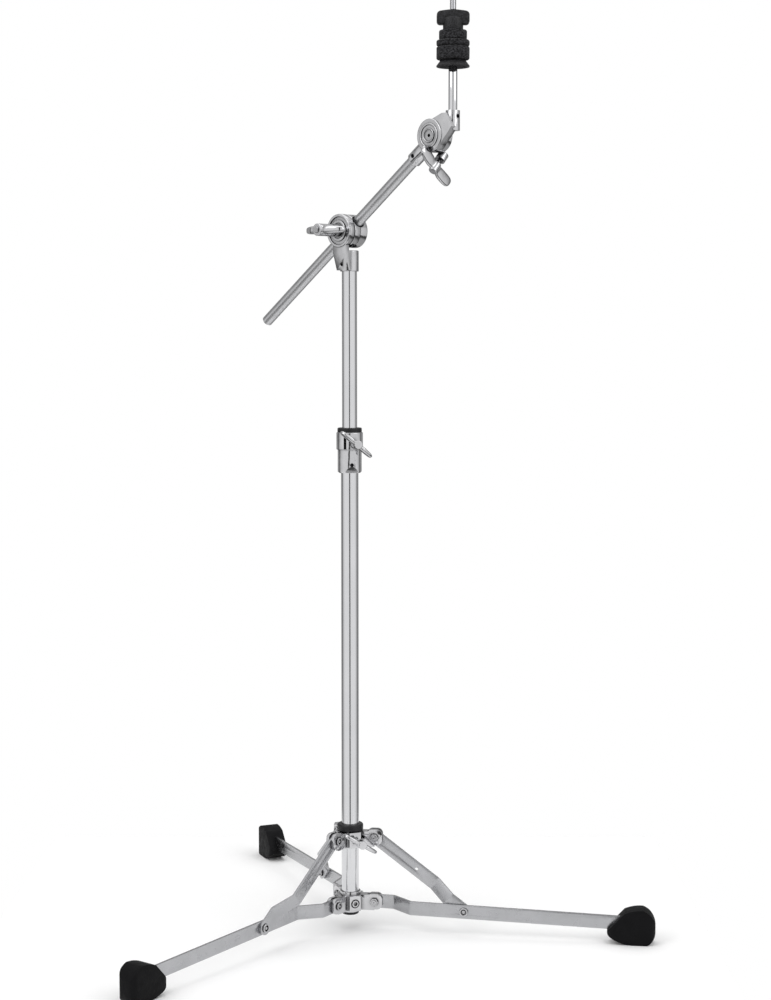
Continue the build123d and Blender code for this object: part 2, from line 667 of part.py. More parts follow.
drum_plane = upright_plane(boom_azimuth, 0, boom_height)
section_plane = Plane(origin=(0, 0, 0), x_dir=boom_side, z_dir=boom_out * -1)
bracket_screw_radius = bracket_d / 2 + 2.2
bracket_screw_plane = facing_plane(boom_azimuth - 90, bracket_screw_radius,
                                   bracket_bottom + bracket_screw_height)
with BuildPart() as boom_bracket:
    with BuildSketch(Plane.XY.offset(bracket_bottom)):
        Circle(bracket_d / 2)
    extrude(amount=bracket_socket_height)
    fillet(boom_bracket.edges().filter_by(GeomType.CIRCLE), 1.0)
    with BuildSketch(section_plane):
        with BuildLine():
            Polyline(
                (bracket_stem_back, bracket_bottom + 1.5), (bracket_d / 2 - 0.4, bracket_bottom + 1.5),
                (ear_front, bracket_top - 3), (ear_front, boom_height), (ear_back, boom_height),
                (ear_back, bracket_top), (bracket_stem_back, bracket_top), close=True)
        make_face()
    extrude(amount=bracket_stem_width / 2, both=True)
    with BuildSketch(drum_plane.offset(ear_back)):
        Circle(bracket_ear_d / 2)
    extrude(amount=bracket_ear_height)
    ear_edge = boom_bracket.faces().sort_by(Axis((0, 0, 0), boom_side))[-1].edges()
    fillet(ear_edge.filter_by(GeomType.CIRCLE), 1.2)
    with BuildSketch(drum_plane.offset(ear_front)):
        Circle(bracket_boss_d / 2)
    extrude(amount=bracket_boss_height)
    with BuildSketch(drum_plane.offset(ear_back)):
        Circle(drum_d / 2 + 2 * moving_gap)
    extrude(amount=-ear_back - drum_rear, mode=Mode.SUBTRACT)
    with BuildSketch(drum_plane):
        Circle(eye_stud_d / 2 + running_gap)
    extrude(amount=ear_front + bracket_boss_height, mode=Mode.SUBTRACT)
    with BuildSketch(Plane.XY.offset(bracket_bottom)):
        Circle(upper_tube_od / 2 + seat_gap)
    extrude(amount=bracket_socket_height, mode=Mode.SUBTRACT)
    with BuildSketch(bracket_screw_plane):
        Circle(set_screw_d / 2 + seat_gap)
    extrude(amount=-bracket_d / 2, mode=Mode.SUBTRACT)
save(boom_bracket, "boom_bracket")

set_screw("bracket_screw", bracket_screw_plane.offset(-set_screw_recess),
          bracket_screw_radius - set_screw_recess - upper_tube_od / 2 - seat_gap)

with BuildPart() as clamp_washer:
    with BuildSketch(drum_plane.offset(washer_back)):
        Circle(clamp_washer_d / 2)
        Circle(eye_stud_d / 2 + moving_gap, mode=Mode.SUBTRACT)
    extrude(amount=clamp_washer_height)
save(clamp_washer, "clamp_washer")

# ------------------------------------------------------------------ boom clamp drum
boom_cut_plane = Plane(origin=boom_centre, x_dir=boom_side, z_dir=boom_along)
groove_mouth = boom_rod_d / 2 + 3.0

with BuildPart() as boom_eye_bolt:
    with BuildSketch(drum_plane.offset(-eye_half_height)):
        Circle(eye_d / 2)
    extrude(amount=2 * eye_half_height)
    with BuildSketch(drum_plane.offset(eye_half_height)):
        Circle(eye_stud_d / 2)
    extrude(amount=eye_stud_end - eye_half_height)
    chamfer(boom_eye_bolt.faces().sort_by(Axis((0, 0, 0), boom_side))[-1].edges(), 0.8)
    with BuildSketch(boom_cut_plane):
        Circle(boom_rod_d / 2 + running_gap)
    extrude(amount=eye_d, both=True, mode=Mode.SUBTRACT)
save(boom_eye_bolt, "boom_eye_bolt")


def drum_half(name, near, far):
    """Half of the boom clamp's drum, from near to far along the clamp's axis, grooved for the rod."""
    reach = far - near
    with BuildPart() as piece:
        with BuildSketch(drum_plane.offset(near)):
            Circle(drum_d / 2)
        extrude(amount=reach)
        outer_face = piece.faces().sort_by(Axis((0, 0, 0), boom_side * reach))[-1]
        fillet(outer_face.edges(), drum_edge)
        with BuildSketch(drum_plane.offset(near)):
            Circle(eye_d / 2 + moving_gap)
        extrude(amount=(eye_half_height + moving_gap) * (1 if far > 0 else -1) - near, mode=Mode.SUBTRACT)
        with BuildSketch(boom_cut_plane):
            Circle(boom_rod_d / 2 + moving_gap)
        extrude(amount=drum_d, both=True, mode=Mode.SUBTRACT)
        if far > eye_half_height:
            with BuildSketch(drum_plane):
                Circle(eye_stud_d / 2 + moving_gap)
            extrude(amount=far, mode=Mode.SUBTRACT)
        for direction in (1, -1):
            mouth_plane = Plane(origin=boom_centre + boom_along * direction * drum_d / 2,
                                x_dir=boom_side, z_dir=boom_along * -direction)
            with BuildSketch(mouth_plane):
                Circle(groove_mouth)
            extrude(amount=groove_mouth, taper=40, mode=Mode.SUBTRACT)
    save(piece, name)


drum_half("boom_clamp_front", drum_seam, drum_front)
drum_half("boom_clamp_rear", -drum_seam, -drum_rear)

boom_nut_length = boom_nut_end - boom_nut_back
boom_nut_plane = Plane(origin=drum_plane.origin + boom_side * boom_nut_back, x_dir=boom_out, z_dir=boom_side)
with BuildPart() as boom_wing_nut:
    with BuildSketch(boom_nut_plane):
        Circle(boom_nut_hub_d / 2)
    extrude(amount=boom_nut_length)
    chamfer(boom_wing_nut.edges().filter_by(GeomType.CIRCLE), 1.2)
    for side in (-1, 1):
        with BuildSketch(Plane(origin=boom_nut_plane.origin, x_dir=boom_out, z_dir=UP * -1)):
            with Locations((0, boom_nut_length - boom_nut_root / 2)):
                Circle(boom_nut_root / 2)
            with Locations((side * (boom_nut_half_span - boom_nut_tip / 2),
                            boom_nut_length - boom_nut_tip / 2 - boom_nut_sweep)):
                Circle(boom_nut_tip / 2)
            make_hull()
        extrude(amount=boom_nut_thickness / 2, both=True)
    with BuildSketch(boom_nut_plane):
        Circle(eye_stud_d / 2 + running_gap)
    extrude(amount=boom_nut_length, mode=Mode.SUBTRACT)
save(boom_wing_nut, "boom_wing_nut")

with BuildPart() as boom_rod:
    with BuildSketch(Plane(origin=boom_centre - boom_along * boom_tail, x_dir=boom_side, z_dir=boom_along)):
        Circle(boom_rod_d / 2)
    extrude(amount=boom_tail + boom_socket_floor - running_gap)
    chamfer(boom_rod.edges().filter_by(GeomType.CIRCLE), boom_end_chamfer)
save(boom_rod, "boom_rod")

# ------------------------------------------------------------------ tilter
tilter_plane = upright_plane(boom_azimuth, tilter_radius, tilter_height)
tilter_centre = tilter_plane.origin
wing_axis = (boom_side * cos(radians(tilter_wing_angle)) - UP * sin(radians(tilter_wing_angle)))
wing_across = (boom_side * sin(radians(tilter_wing_angle)) + UP * cos(radians(tilter_wing_angle)))
wing_middle = tilter_centre + boom_side * tilter_wing_side - UP * tilter_wing_drop
wing_hub_start = wing_middle - wing_axis * (tilter_wing_hub_length - wing_root / 2)
boss_plane = Plane(origin=wing_middle - wing_axis * tilter_boss_far, x_dir=wing_across, z_dir=wing_axis)
base_screw_plane = Plane(
    origin=(tilter_centre - boom_along * (tilter_socket_start - tilter_screw_inset)
            + boom_side * tilter_socket_d / 2),
    x_dir=boom_along, z_dir=boom_side)

with BuildPart() as tilter_base:
    with BuildSketch(tilter_plane.offset(-tilter_rear)):
        Circle(tilter_drum_d / 2)
    extrude(amount=tilter_rear - tilter_seam)
    fillet(tilter_base.faces().sort_by(Axis((0, 0, 0), boom_side))[0].edges(), tilter_edge)
    with BuildSketch(Plane(origin=tilter_centre - boom_along * tilter_socket_start, x_dir=boom_side,
                           z_dir=boom_along)):
        Circle(tilter_socket_d / 2)
    extrude(amount=tilter_socket_start - tilter_pivot_nut_flats / 2 - tilter_pivot_d / 2)
    with BuildSketch(boss_plane):
        Circle(tilter_boss_d / 2)
    extrude(amount=tilter_boss_far - tilter_boss_near)
    with BuildSketch(tilter_plane.offset(-tilter_seam)):
        Circle(tilter_head_d / 2 + 2 * moving_gap)
    extrude(amount=tilter_front + tilter_socket_d, mode=Mode.SUBTRACT)
    with BuildSketch(tilter_plane.offset(-tilter_seam)):
        Circle(journal_d / 2 + running_gap)
    extrude(amount=-(journal_depth + moving_gap - tilter_seam), mode=Mode.SUBTRACT)
    with BuildSketch(tilter_plane):
        Circle(tilter_pivot_d / 2 + running_gap)
    extrude(amount=-tilter_rear, mode=Mode.SUBTRACT)
    with BuildSketch(Plane(origin=tilter_centre - boom_along * tilter_socket_start, x_dir=boom_side,
                           z_dir=boom_along)):
        Circle(boom_rod_d / 2 + seat_gap)
    extrude(amount=tilter_socket_depth, mode=Mode.SUBTRACT)
    with BuildSketch(boss_plane):
        Circle(wing_stud_d / 2 + running_gap)
    extrude(amount=tilter_boss_far, mode=Mode.SUBTRACT)
    with BuildSketch(tilter_plane.offset(-journal_depth)):
        with Locations((0, -journal_d / 2)):
            Rectangle(shoe_width + 2 * seat_gap, 8.0, align=(Align.CENTER, Align.MAX))
    extrude(amount=journal_depth - tilter_seam, mode=Mode.SUBTRACT)
    with BuildSketch(base_screw_plane):
        Circle(set_screw_d / 2 + seat_gap)
    extrude(amount=-tilter_socket_d / 2, mode=Mode.SUBTRACT)
save(tilter_base, "tilter_base")

set_screw("tilter_base_screw", base_screw_plane, tilter_socket_d / 2 - boom_rod_d / 2 - 2 * seat_gap)

with BuildPart() as tilter_brake_shoe:
    with BuildSketch(tilter_plane.offset(-journal_depth + seat_gap)):
        with Locations((0, -journal_d / 2 - running_gap)):
            Rectangle(shoe_width, 7.0, align=(Align.CENTER, Align.MAX))
        Circle(journal_d / 2 + running_gap, mode=Mode.SUBTRACT)
    extrude(amount=journal_depth - moving_gap - seat_gap)
save(tilter_brake_shoe, "tilter_brake_shoe")

head_screw_height = post_socket_top - tilter_screw_inset
head_screw_plane = Plane(origin=tilter_centre + boom_out * post_offset + UP * head_screw_height,
                         x_dir=UP, z_dir=boom_out)
with BuildPart() as tilter_head:
    with BuildSketch(tilter_plane.offset(tilter_seam)):
        Circle(tilter_head_d / 2)
    extrude(amount=tilter_front - tilter_seam)
    fillet(tilter_head.faces().sort_by(Axis((0, 0, 0), boom_side))[-1].edges(), tilter_edge)
    with BuildSketch(tilter_plane.offset(tilter_seam)):
        with BuildLine():
            Polyline(
                (4, tilter_head_d / 2 - 0.6), (post_offset - post_socket_d / 2 + 1, post_socket_top - 3),
                (post_offset, post_socket_top - 3),
                (post_offset + post_socket_d / 2 - 0.6, post_socket_bottom + 4),
                (post_offset + 2, post_socket_bottom - 3), (15, -12.5), (0, 0), close=True)
        make_face()
    extrude(amount=tilter_arm_front - tilter_seam)
    with BuildSketch(Plane(origin=tilter_centre + boom_out * post_offset + UP * post_socket_bottom,
                           x_dir=boom_out, z_dir=UP)):
        Circle(post_socket_d / 2)
    extrude(amount=post_socket_top - post_socket_bottom)
    with BuildSketch(tilter_plane.offset(tilter_seam)):
        Circle(journal_d / 2)
    extrude(amount=-(journal_depth + tilter_seam))
    with BuildSketch(tilter_plane.offset(-tilter_rear)):
        Circle(tilter_drum_d / 2 + 2 * moving_gap)
        Circle(journal_d / 2 + 0.001, mode=Mode.SUBTRACT)
    extrude(amount=tilter_rear + tilter_seam, mode=Mode.SUBTRACT)
    with BuildSketch(tilter_plane.offset(-journal_depth)):
        Circle(tilter_pivot_d / 2 + running_gap)
    extrude(amount=journal_depth + tilter_front, mode=Mode.SUBTRACT)
    with BuildSketch(tilter_plane.offset(tilter_front)):
        Circle(tilter_pivot_recess_d / 2)
    extrude(amount=-tilter_pivot_recess, mode=Mode.SUBTRACT)
    with BuildSketch(Plane(origin=tilter_centre + boom_out * post_offset + UP * post_socket_top,
                           x_dir=boom_out, z_dir=UP)):
        Circle(post_d / 2 + seat_gap)
    extrude(amount=-post_depth, mode=Mode.SUBTRACT)
    with BuildSketch(head_screw_plane):
        Circle(set_screw_d / 2 + seat_gap)
    extrude(amount=post_socket_d, mode=Mode.SUBTRACT)
save(tilter_head, "tilter_head")

set_screw("tilter_head_screw", head_screw_plane.offset(post_socket_d / 2),
          (post_socket_d - post_d) / 2 - 2 * seat_gap)

with BuildPart() as tilter_pivot_bolt:
    pivot_tail = tilter_rear + tilter_pivot_nut_height + tilter_pivot_end
    with BuildSketch(tilter_plane.offset(-pivot_tail)):
        Circle(tilter_pivot_d / 2)
    extrude(amount=pivot_tail + tilter_front - tilter_pivot_recess)
    with BuildSketch(tilter_plane.offset(tilter_front - tilter_pivot_recess)):
        Circle(tilter_pivot_head_d / 2)
    extrude(amount=tilter_pivot_head_height)
    with BuildSketch(tilter_plane.offset(tilter_front)):
        RegularPolygon(tilter_pivot_socket_flats / 2, 6, major_radius=False)
    extrude(amount=-tilter_pivot_socket_depth, mode=Mode.SUBTRACT)
save(tilter_pivot_bolt, "tilter_pivot_bolt")

with BuildPart() as tilter_pivot_nut:
    with BuildSketch(tilter_plane.offset(-tilter_rear)):
        RegularPolygon(tilter_pivot_nut_flats / 2, 6, major_radius=False)
        Circle(tilter_pivot_d / 2 + seat_gap, mode=Mode.SUBTRACT)
    extrude(amount=-tilter_pivot_nut_height)
save(tilter_pivot_nut, "tilter_pivot_nut")

wing_handle("tilter_wing_bolt", Plane(origin=wing_hub_start, x_dir=wing_across, z_dir=wing_axis),
            tilter_wing_hub_length, tilter_wing_half_span,
            tilter_boss_far - tilter_wing_hub_length + wing_root / 2 - 2.0)

# ------------------------------------------------------------------ cymbal post and its stack
post_foot = boom_out * post_radius


def post_plane(height):
    """Level plane on the cymbal post's axis."""
    return Plane(origin=post_foot + UP * height, x_dir=boom_out, z_dir=UP)


with BuildPart() as cymbal_post:
    post_bottom = tilter_height + post_socket_top - post_depth + seat_gap
    with BuildSketch(post_plane(post_bottom)):
        Circle(post_d / 2)
    extrude(amount=post_shoulder - post_bottom)
    with BuildSketch(post_plane(post_shoulder)):
        Circle(post_thread_d / 2)
    extrude(amount=post_tip - post_shoulder)
    chamfer(cymbal_post.edges().filter_by(GeomType.CIRCLE).sort_by(Axis.Z)[-1], post_tip_chamfer)
save(cymbal_post, "cymbal_post")

with BuildPart() as cymbal_seat:
    with BuildSketch(Plane(origin=post_foot, x_dir=boom_out, z_dir=boom_side)):
        with BuildLine():
            Polyline(
                (post_thread_d / 2 + seat_gap, seat_top), (seat_top_d / 2, seat_top),
                (seat_rim_d / 2, seat_bottom + 1.2), (seat_rim_d / 2 - 0.3, seat_bottom),
                (seat_rim_d / 2 - seat_wall, seat_bottom),
                (seat_top_d / 2 - seat_wall, seat_top - seat_wall - 2),
                (post_d / 2 + seat_gap, seat_top - seat_wall - 2),
                (post_d / 2 + seat_gap, post_shoulder + seat_gap),
                (post_thread_d / 2 + seat_gap, post_shoulder + seat_gap), close=True)
        make_face()
    revolve(axis=Axis(post_foot, UP))
save(cymbal_seat, "cymbal_seat")


def post_ring(name, outer_d, inner_d, bottom, height, round_radius):
    """A ring on the cymbal post."""
    with BuildPart() as piece:
        with BuildSketch(post_plane(bottom)):
            Circle(outer_d / 2)
        extrude(amount=height)
        if round_radius:
            fillet(piece.edges().filter_by(GeomType.CIRCLE), round_radius)
        with BuildSketch(post_plane(bottom)):
            Circle(inner_d / 2)
        extrude(amount=height, mode=Mode.SUBTRACT)
    save(piece, name)


felt_bore_d = sleeve_d + 2 * moving_gap
post_ring("cymbal_sleeve", sleeve_d, post_thread_d + 2 * seat_gap, seat_top,
          small_felt_top - seat_top - 0.5, 0)
post_ring("lower_felt", felt_d, sleeve_d + 2 * seat_gap, seat_top, lower_felt_height, 1.5)
post_ring("upper_felt", felt_d, felt_bore_d, upper_felt_bottom, upper_felt_height, 1.5)
post_ring("small_felt", small_felt_d, felt_bore_d, upper_felt_top, small_felt_height, 1.5)

with BuildPart() as cymbal_nut:
    nut_wing_bottom = nut_bottom + nut_hub_height
    wing_side_plane = Plane(origin=post_foot, x_dir=(1, 0, 0), z_dir=(0, -1, 0))
    with BuildSketch(post_plane(nut_bottom)):
        Circle(nut_hub_d / 2)
    extrude(amount=nut_hub_height + nut_height / 2)
    with BuildSketch(wing_side_plane):
        with BuildLine():
            base_line = Polyline((-nut_width / 2, nut_top - nut_crown), (-nut_width / 2, nut_wing_bottom),
                                 (nut_width / 2, nut_wing_bottom), (nut_width / 2, nut_top - nut_crown))
            ThreePointArc(base_line @ 1, (0, nut_top), base_line @ 0)
        make_face()
    extrude(amount=nut_depth / 2, both=True)
    with BuildSketch(post_plane(nut_bottom)):
        Circle(post_thread_d / 2 + running_gap)
    extrude(amount=nut_top - nut_bottom, mode=Mode.SUBTRACT)
save(cymbal_nut, "cymbal_nut")
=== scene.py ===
import json
from math import cos, pi, radians, sin

import bmesh
import bpy
from bpy.props import FloatProperty, FloatVectorProperty, PointerProperty
from mathutils import Matrix, Vector


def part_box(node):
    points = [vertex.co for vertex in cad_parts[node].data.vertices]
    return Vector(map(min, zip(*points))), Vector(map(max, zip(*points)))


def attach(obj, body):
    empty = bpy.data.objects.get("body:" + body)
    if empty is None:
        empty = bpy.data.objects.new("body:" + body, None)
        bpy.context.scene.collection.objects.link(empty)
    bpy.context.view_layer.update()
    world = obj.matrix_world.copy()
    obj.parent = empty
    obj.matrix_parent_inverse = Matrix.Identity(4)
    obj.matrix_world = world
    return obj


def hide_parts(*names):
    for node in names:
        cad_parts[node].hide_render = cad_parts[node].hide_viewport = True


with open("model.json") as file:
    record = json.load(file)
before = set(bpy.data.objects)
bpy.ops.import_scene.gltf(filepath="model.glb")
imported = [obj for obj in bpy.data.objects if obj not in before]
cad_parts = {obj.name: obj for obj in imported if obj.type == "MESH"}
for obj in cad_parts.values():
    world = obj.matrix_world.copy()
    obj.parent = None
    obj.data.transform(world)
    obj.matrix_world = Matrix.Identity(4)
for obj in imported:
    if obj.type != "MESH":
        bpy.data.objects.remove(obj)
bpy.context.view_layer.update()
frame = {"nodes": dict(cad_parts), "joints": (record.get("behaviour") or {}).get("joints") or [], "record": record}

bl_info = {
    "name": "Cymbal boom stand",
    "version": (1, 0, 0),
    "blender": (4, 5, 0),
    "location": "3D View > Sidebar > Boom stand",
    "description": "Models the looks of a cymbal boom stand around its engineering parts",
    "category": "Object",
}

MM = 0.001
JOINTS = {joint["name"]: joint for joint in frame["joints"]}
BODY_OF = {node: body for body, nodes in frame["record"]["behaviour"]["bodies"].items() for node in nodes}
LEGS = (1, 2, 3)


# ---------------------------------------------------------------- colours, nodes
def linear(hex_colour):
    """An sRGB hex colour as the linear RGBA that shaders take."""
    channels = [int(hex_colour[i:i + 2], 16) / 255 for i in (1, 3, 5)]
    return tuple(c / 12.92 if c <= 0.04045 else ((c + 0.055) / 1.055) ** 2.4 for c in channels) + (1.0,)


def add_node(tree, kind, settings=None, links=None):
    """Add a node, set its properties and sockets, and link sockets to other nodes' outputs."""
    node = tree.nodes.new(kind)
    for key, value in (settings or {}).items():
        if isinstance(key, int) or key in node.inputs:
            node.inputs[key].default_value = value
        else:
            setattr(node, key, value)
    for key, source in (links or {}).items():
        tree.links.new(source, node.inputs[key])
    return node


def start_material(name, **shader_settings):
    """A new material: its node tree, its shader and the object coordinates."""
    material = bpy.data.materials.new(name)
    material.use_nodes = True
    tree = material.node_tree
    tree.nodes.clear()
    shader = add_node(tree, "ShaderNodeBsdfPrincipled", shader_settings)
    add_node(tree, "ShaderNodeOutputMaterial", links={"Surface": shader.outputs[0]})
    coords = add_node(tree, "ShaderNodeTexCoord").outputs["Object"]
    return material, tree, shader, coords


def pattern(tree, coords, size, detail=2.0, stretch=(1, 1, 1), roughness=0.5):
    """Noise whose blotches are about size metres across; stretch lengthens them along an axis."""
    mapped = add_node(tree, "ShaderNodeMapping", {"Scale": tuple(1 / (size * s) for s in stretch)},
                      {"Vector": coords})
    return add_node(tree, "ShaderNodeTexNoise", {"Scale": 1.0, "Detail": detail, "Roughness": roughness},
                    {"Vector": mapped.outputs[0]}).outputs["Fac"]


def spread(tree, value, low, high, start=0.3, end=0.7):
    """Map a 0 to 1 pattern onto low to high."""
    return add_node(tree, "ShaderNodeMapRange",
                    {"From Min": start, "From Max": end, "To Min": low, "To Max": high},
                    {"Value": value}).outputs[0]


def raise_bumps(tree, shader, height, depth, strength=1.0):
    """Use a pattern as bumps depth metres high."""
    bump = add_node(tree, "ShaderNodeBump", {"Strength": strength, "Distance": depth}, {"Height": height})
    tree.links.new(bump.outputs["Normal"], shader.inputs["Normal"])


def tint(tree, shader, value, dark, light):
    """Vary the base colour between two hex colours."""
    mix = add_node(tree, "ShaderNodeMix", {"data_type": "RGBA"}, {"Factor": value})
    for socket, colour in zip([s for s in mix.inputs if s.type == "RGBA"], (dark, light)):
        socket.default_value = linear(colour)
    tree.links.new([s for s in mix.outputs if s.type == "RGBA"][0], shader.inputs["Base Color"])


def paint_recess_shade(tree, value, reach):
    """Paint shade into a 0 to 1 pattern: draw it down to 0 in the recesses that lie within reach of a wall, where
    ambient occlusion finds them.
    """
    open_sky = add_node(tree, "ShaderNodeAmbientOcclusion", {"samples": 8, "Distance": reach}).outputs["AO"]
    clear = spread(tree, open_sky, 0.0, 1.0, 0.4, 0.93)
    return add_node(tree, "ShaderNodeMath", {"operation": "MULTIPLY"}, {0: value, 1: clear}).outputs[0]


# ---------------------------------------------------------------- materials
def chrome_tube():
    """Bright chrome on drawn tube: a mirror with faint draw lines along it and handling haze."""
    material, tree, shader, coords = start_material("chrome_on_drawn_tube", Metallic=1.0)
    tint(tree, shader, pattern(tree, coords, 40 * MM), "#cecfd1", "#dadadc")
    haze = pattern(tree, coords, 18 * MM, 4.0)
    tree.links.new(spread(tree, haze, 0.07, 0.15), shader.inputs["Roughness"])
    draw_lines = pattern(tree, coords, 0.7 * MM, 1.0, (1, 1, 60))
    raise_bumps(tree, shader, draw_lines, 0.004 * MM)
    return material


def chrome_boom():
    """Chrome on the boom's drawn rod: as the tubes, its draw lines turned to run along the boom."""
    material, tree, shader, coords = start_material("chrome_on_drawn_rod", Metallic=1.0)
    slope = Vector(JOINTS["boom_slide"]["axis"]).rotation_difference(Vector((0, 0, 1))).to_euler()
    along = add_node(tree, "ShaderNodeMapping", {"Rotation": tuple(slope)}, {"Vector": coords}).outputs[0]
    tint(tree, shader, pattern(tree, coords, 40 * MM), "#bcbdbf", "#cacacc")
    tree.links.new(spread(tree, pattern(tree, along, 18 * MM, 4.0), 0.3, 0.38), shader.inputs["Roughness"])
    return material


def chrome_bar():
    """Chrome on rolled flat bar: softer than the tube, with the rolling's slight waves."""
    material, tree, shader, coords = start_material("chrome_on_rolled_bar", Metallic=1.0)
    tint(tree, shader, pattern(tree, coords, 25 * MM, 3.0), "#a5a6a8", "#b6b6b9")
    tree.links.new(spread(tree, pattern(tree, coords, 9 * MM, 4.0), 0.17, 0.30), shader.inputs["Roughness"])
    raise_bumps(tree, shader, pattern(tree, coords, 6 * MM, 3.0), 0.03 * MM)
    return material


def chrome_casting():
    """Chrome on a polished zinc casting: bright and gently wavy, with painted shade darkening it in its recesses.
    """
    material, tree, shader, coords = start_material("chrome_on_zinc_casting", Metallic=1.0)
    polish = spread(tree, pattern(tree, coords, 12 * MM, 3.0), 0.86, 1.0)
    # The dark colour is painted shade, laid into the recesses by ambient occlusion.
    tint(tree, shader, paint_recess_shade(tree, polish, 7 * MM), "#3c3c3e", "#cdcdcf")
    tree.links.new(spread(tree, pattern(tree, coords, 5 * MM, 4.0), 0.05, 0.12), shader.inputs["Roughness"])
    raise_bumps(tree, shader, pattern(tree, coords, 7 * MM, 2.0), 0.25 * MM)
    return material


def chrome_screw():
    """Chrome on turned steel: bright, with fine tool grain, and painted shade darkening it down in the grooves."""
    material, tree, shader, coords = start_material("chrome_on_turned_steel", Metallic=1.0)
    turning = spread(tree, pattern(tree, coords, 3 * MM, 2.0), 0.84, 1.0)
    # The dark colour is painted shade, laid into the grooves by ambient occlusion.
    tint(tree, shader, paint_recess_shade(tree, turning, 4 * MM), "#2c2c2e", "#c0c0c2")
    tree.links.new(spread(tree, pattern(tree, coords, 1.5 * MM, 3.0), 0.14, 0.28), shader.inputs["Roughness"])
    raise_bumps(tree, shader, pattern(tree, coords, 0.8 * MM), 0.01 * MM)
    return material


def black_oxide():
    """Black oxide on steel set screws: near black with a dull sheen."""
    material, tree, shader, coords = start_material("black_oxide_on_steel", Metallic=0.8)
    tint(tree, shader, pattern(tree, coords, 1.5 * MM, 3.0), "#101012", "#26262a")
    tree.links.new(spread(tree, pattern(tree, coords, 1.0 * MM), 0.35, 0.5), shader.inputs["Roughness"])
    return material


def moulded_rubber():
    """Moulded rubber feet: matt, with a fine spark-eroded grain and a dusty bloom."""
    material, tree, shader, coords = start_material(
        "moulded_rubber", IOR=1.52, **{"Specular IOR Level": 0.1})
    tint(tree, shader, pattern(tree, coords, 14 * MM, 6.0), "#050506", "#101012")
    tree.links.new(spread(tree, pattern(tree, coords, 7 * MM, 4.0), 0.5, 0.68), shader.inputs["Roughness"])
    raise_bumps(tree, shader, pattern(tree, coords, 2.2 * MM, 5.0), 0.5 * MM)
    return material


def moulded_nylon():
    """Moulded nylon bushes: black with a waxy half-gloss."""
    material, tree, shader, coords = start_material(
        "moulded_nylon", IOR=1.53, **{"Specular IOR Level": 0.3})
    tint(tree, shader, pattern(tree, coords, 8 * MM, 4.0), "#0f0f11", "#1b1b1e")
    tree.links.new(spread(tree, pattern(tree, coords, 4 * MM, 3.0), 0.32, 0.48), shader.inputs["Roughness"])
    raise_bumps(tree, shader, pattern(tree, coords, 0.7 * MM), 0.02 * MM)
    return material


def moulded_abs():
    """Moulded ABS seat and nut: black with an etched grain, drawn coarser than real so it shows."""
    material, tree, shader, coords = start_material(
        "moulded_abs", IOR=1.54, **{"Specular IOR Level": 0.28})
    grain = spread(tree, pattern(tree, coords, 1.6 * MM, 4.0, roughness=0.7), 0.0, 1.0, 0.4, 0.66)
    tint(tree, shader, grain, "#050506", "#343437")
    tree.links.new(spread(tree, pattern(tree, coords, 5 * MM, 3.0), 0.4, 0.56), shader.inputs["Roughness"])
    raise_bumps(tree, shader, grain, 0.08 * MM)
    return material


def pressed_felt():
    """Pressed wool felt: dark and dull, with matted fibres. The fibres are drawn coarser so they show."""
    material, tree, shader, coords = start_material(
        "pressed_wool_felt", IOR=1.45,
        **{"Sheen Weight": 0.06, "Sheen Roughness": 0.5, "Specular IOR Level": 0.2})
    fibres = spread(tree, pattern(tree, coords, 1.9 * MM, 4.0, (1.2, 1.2, 0.8), 0.7), 0.0, 1.0, 0.42, 0.66)
    tint(tree, shader, fibres, "#040405", "#4a4a4d")
    tree.links.new(spread(tree, fibres, 0.82, 0.97), shader.inputs["Roughness"])
    raise_bumps(tree, shader, fibres, 0.3 * MM)
    return material


def plain_steel():
    """Plain steel of the hidden brake shoe: ground, grey."""
    material, tree, shader, coords = start_material("ground_steel", Metallic=1.0)
    tint(tree, shader, pattern(tree, coords, 2 * MM, 3.0), "#8a8b8d", "#a3a4a6")
    tree.links.new(spread(tree, pattern(tree, coords, 1 * MM), 0.3, 0.45), shader.inputs["Roughness"])
    return material


def painted_floor():
    """Matt white studio floor, its roller texture only just uneven."""
    material, tree, shader, coords = start_material("matt_white_floor", Roughness=0.9, IOR=1.45)
    tint(tree, shader, pattern(tree, coords, 300 * MM, 3.0), "#fbfbfb", "#fefefe")
    return material


MAKERS = {
    "chrome_tube": chrome_tube,
    "chrome_bar": chrome_bar,
    "chrome_casting": chrome_casting,
    "chrome_screw": chrome_screw,
    "black_screw": black_oxide,
    "black_rubber": moulded_rubber,
    "black_nylon": moulded_nylon,
    "black_abs": moulded_abs,
    "dark_felt": pressed_felt,
    "steel_wear": plain_steel,
}
SLOT_OF = {row["node"]: row["material_slot"] for row in frame["record"]["subparts"]}
made = {}


def material_for(slot):
    """The material of one of the record's slots, made the first time it is asked for."""
    if slot not in made:
        made[slot] = MAKERS[slot]()
    return made[slot]


# ---------------------------------------------------------------- modelling helpers
def choose_only(piece):
    """Select one object and make it active."""
    bpy.ops.object.select_all(action="DESELECT")
    piece.select_set(True)
    bpy.context.view_layer.objects.active = piece


def new_piece(name):
    """Name the primitive just added and start editing it, with nothing selected."""
    piece = bpy.context.active_object
    piece.name = name
    piece.data.name = name
    bpy.ops.object.mode_set(mode="EDIT")
    bpy.ops.mesh.select_all(action="DESELECT")
    return piece


def pick_faces(piece, wanted):
    """Select the faces that wanted(face) is true of, and return the middle of them."""
    bpy.ops.mesh.select_mode(type="FACE")
    bpy.ops.mesh.select_all(action="DESELECT")
    mesh = bmesh.from_edit_mesh(piece.data)
    chosen = [face for face in mesh.faces if wanted(face)]
    for face in chosen:
        face.select_set(True)
    bmesh.update_edit_mesh(piece.data)
    return middle_of_selection(piece)


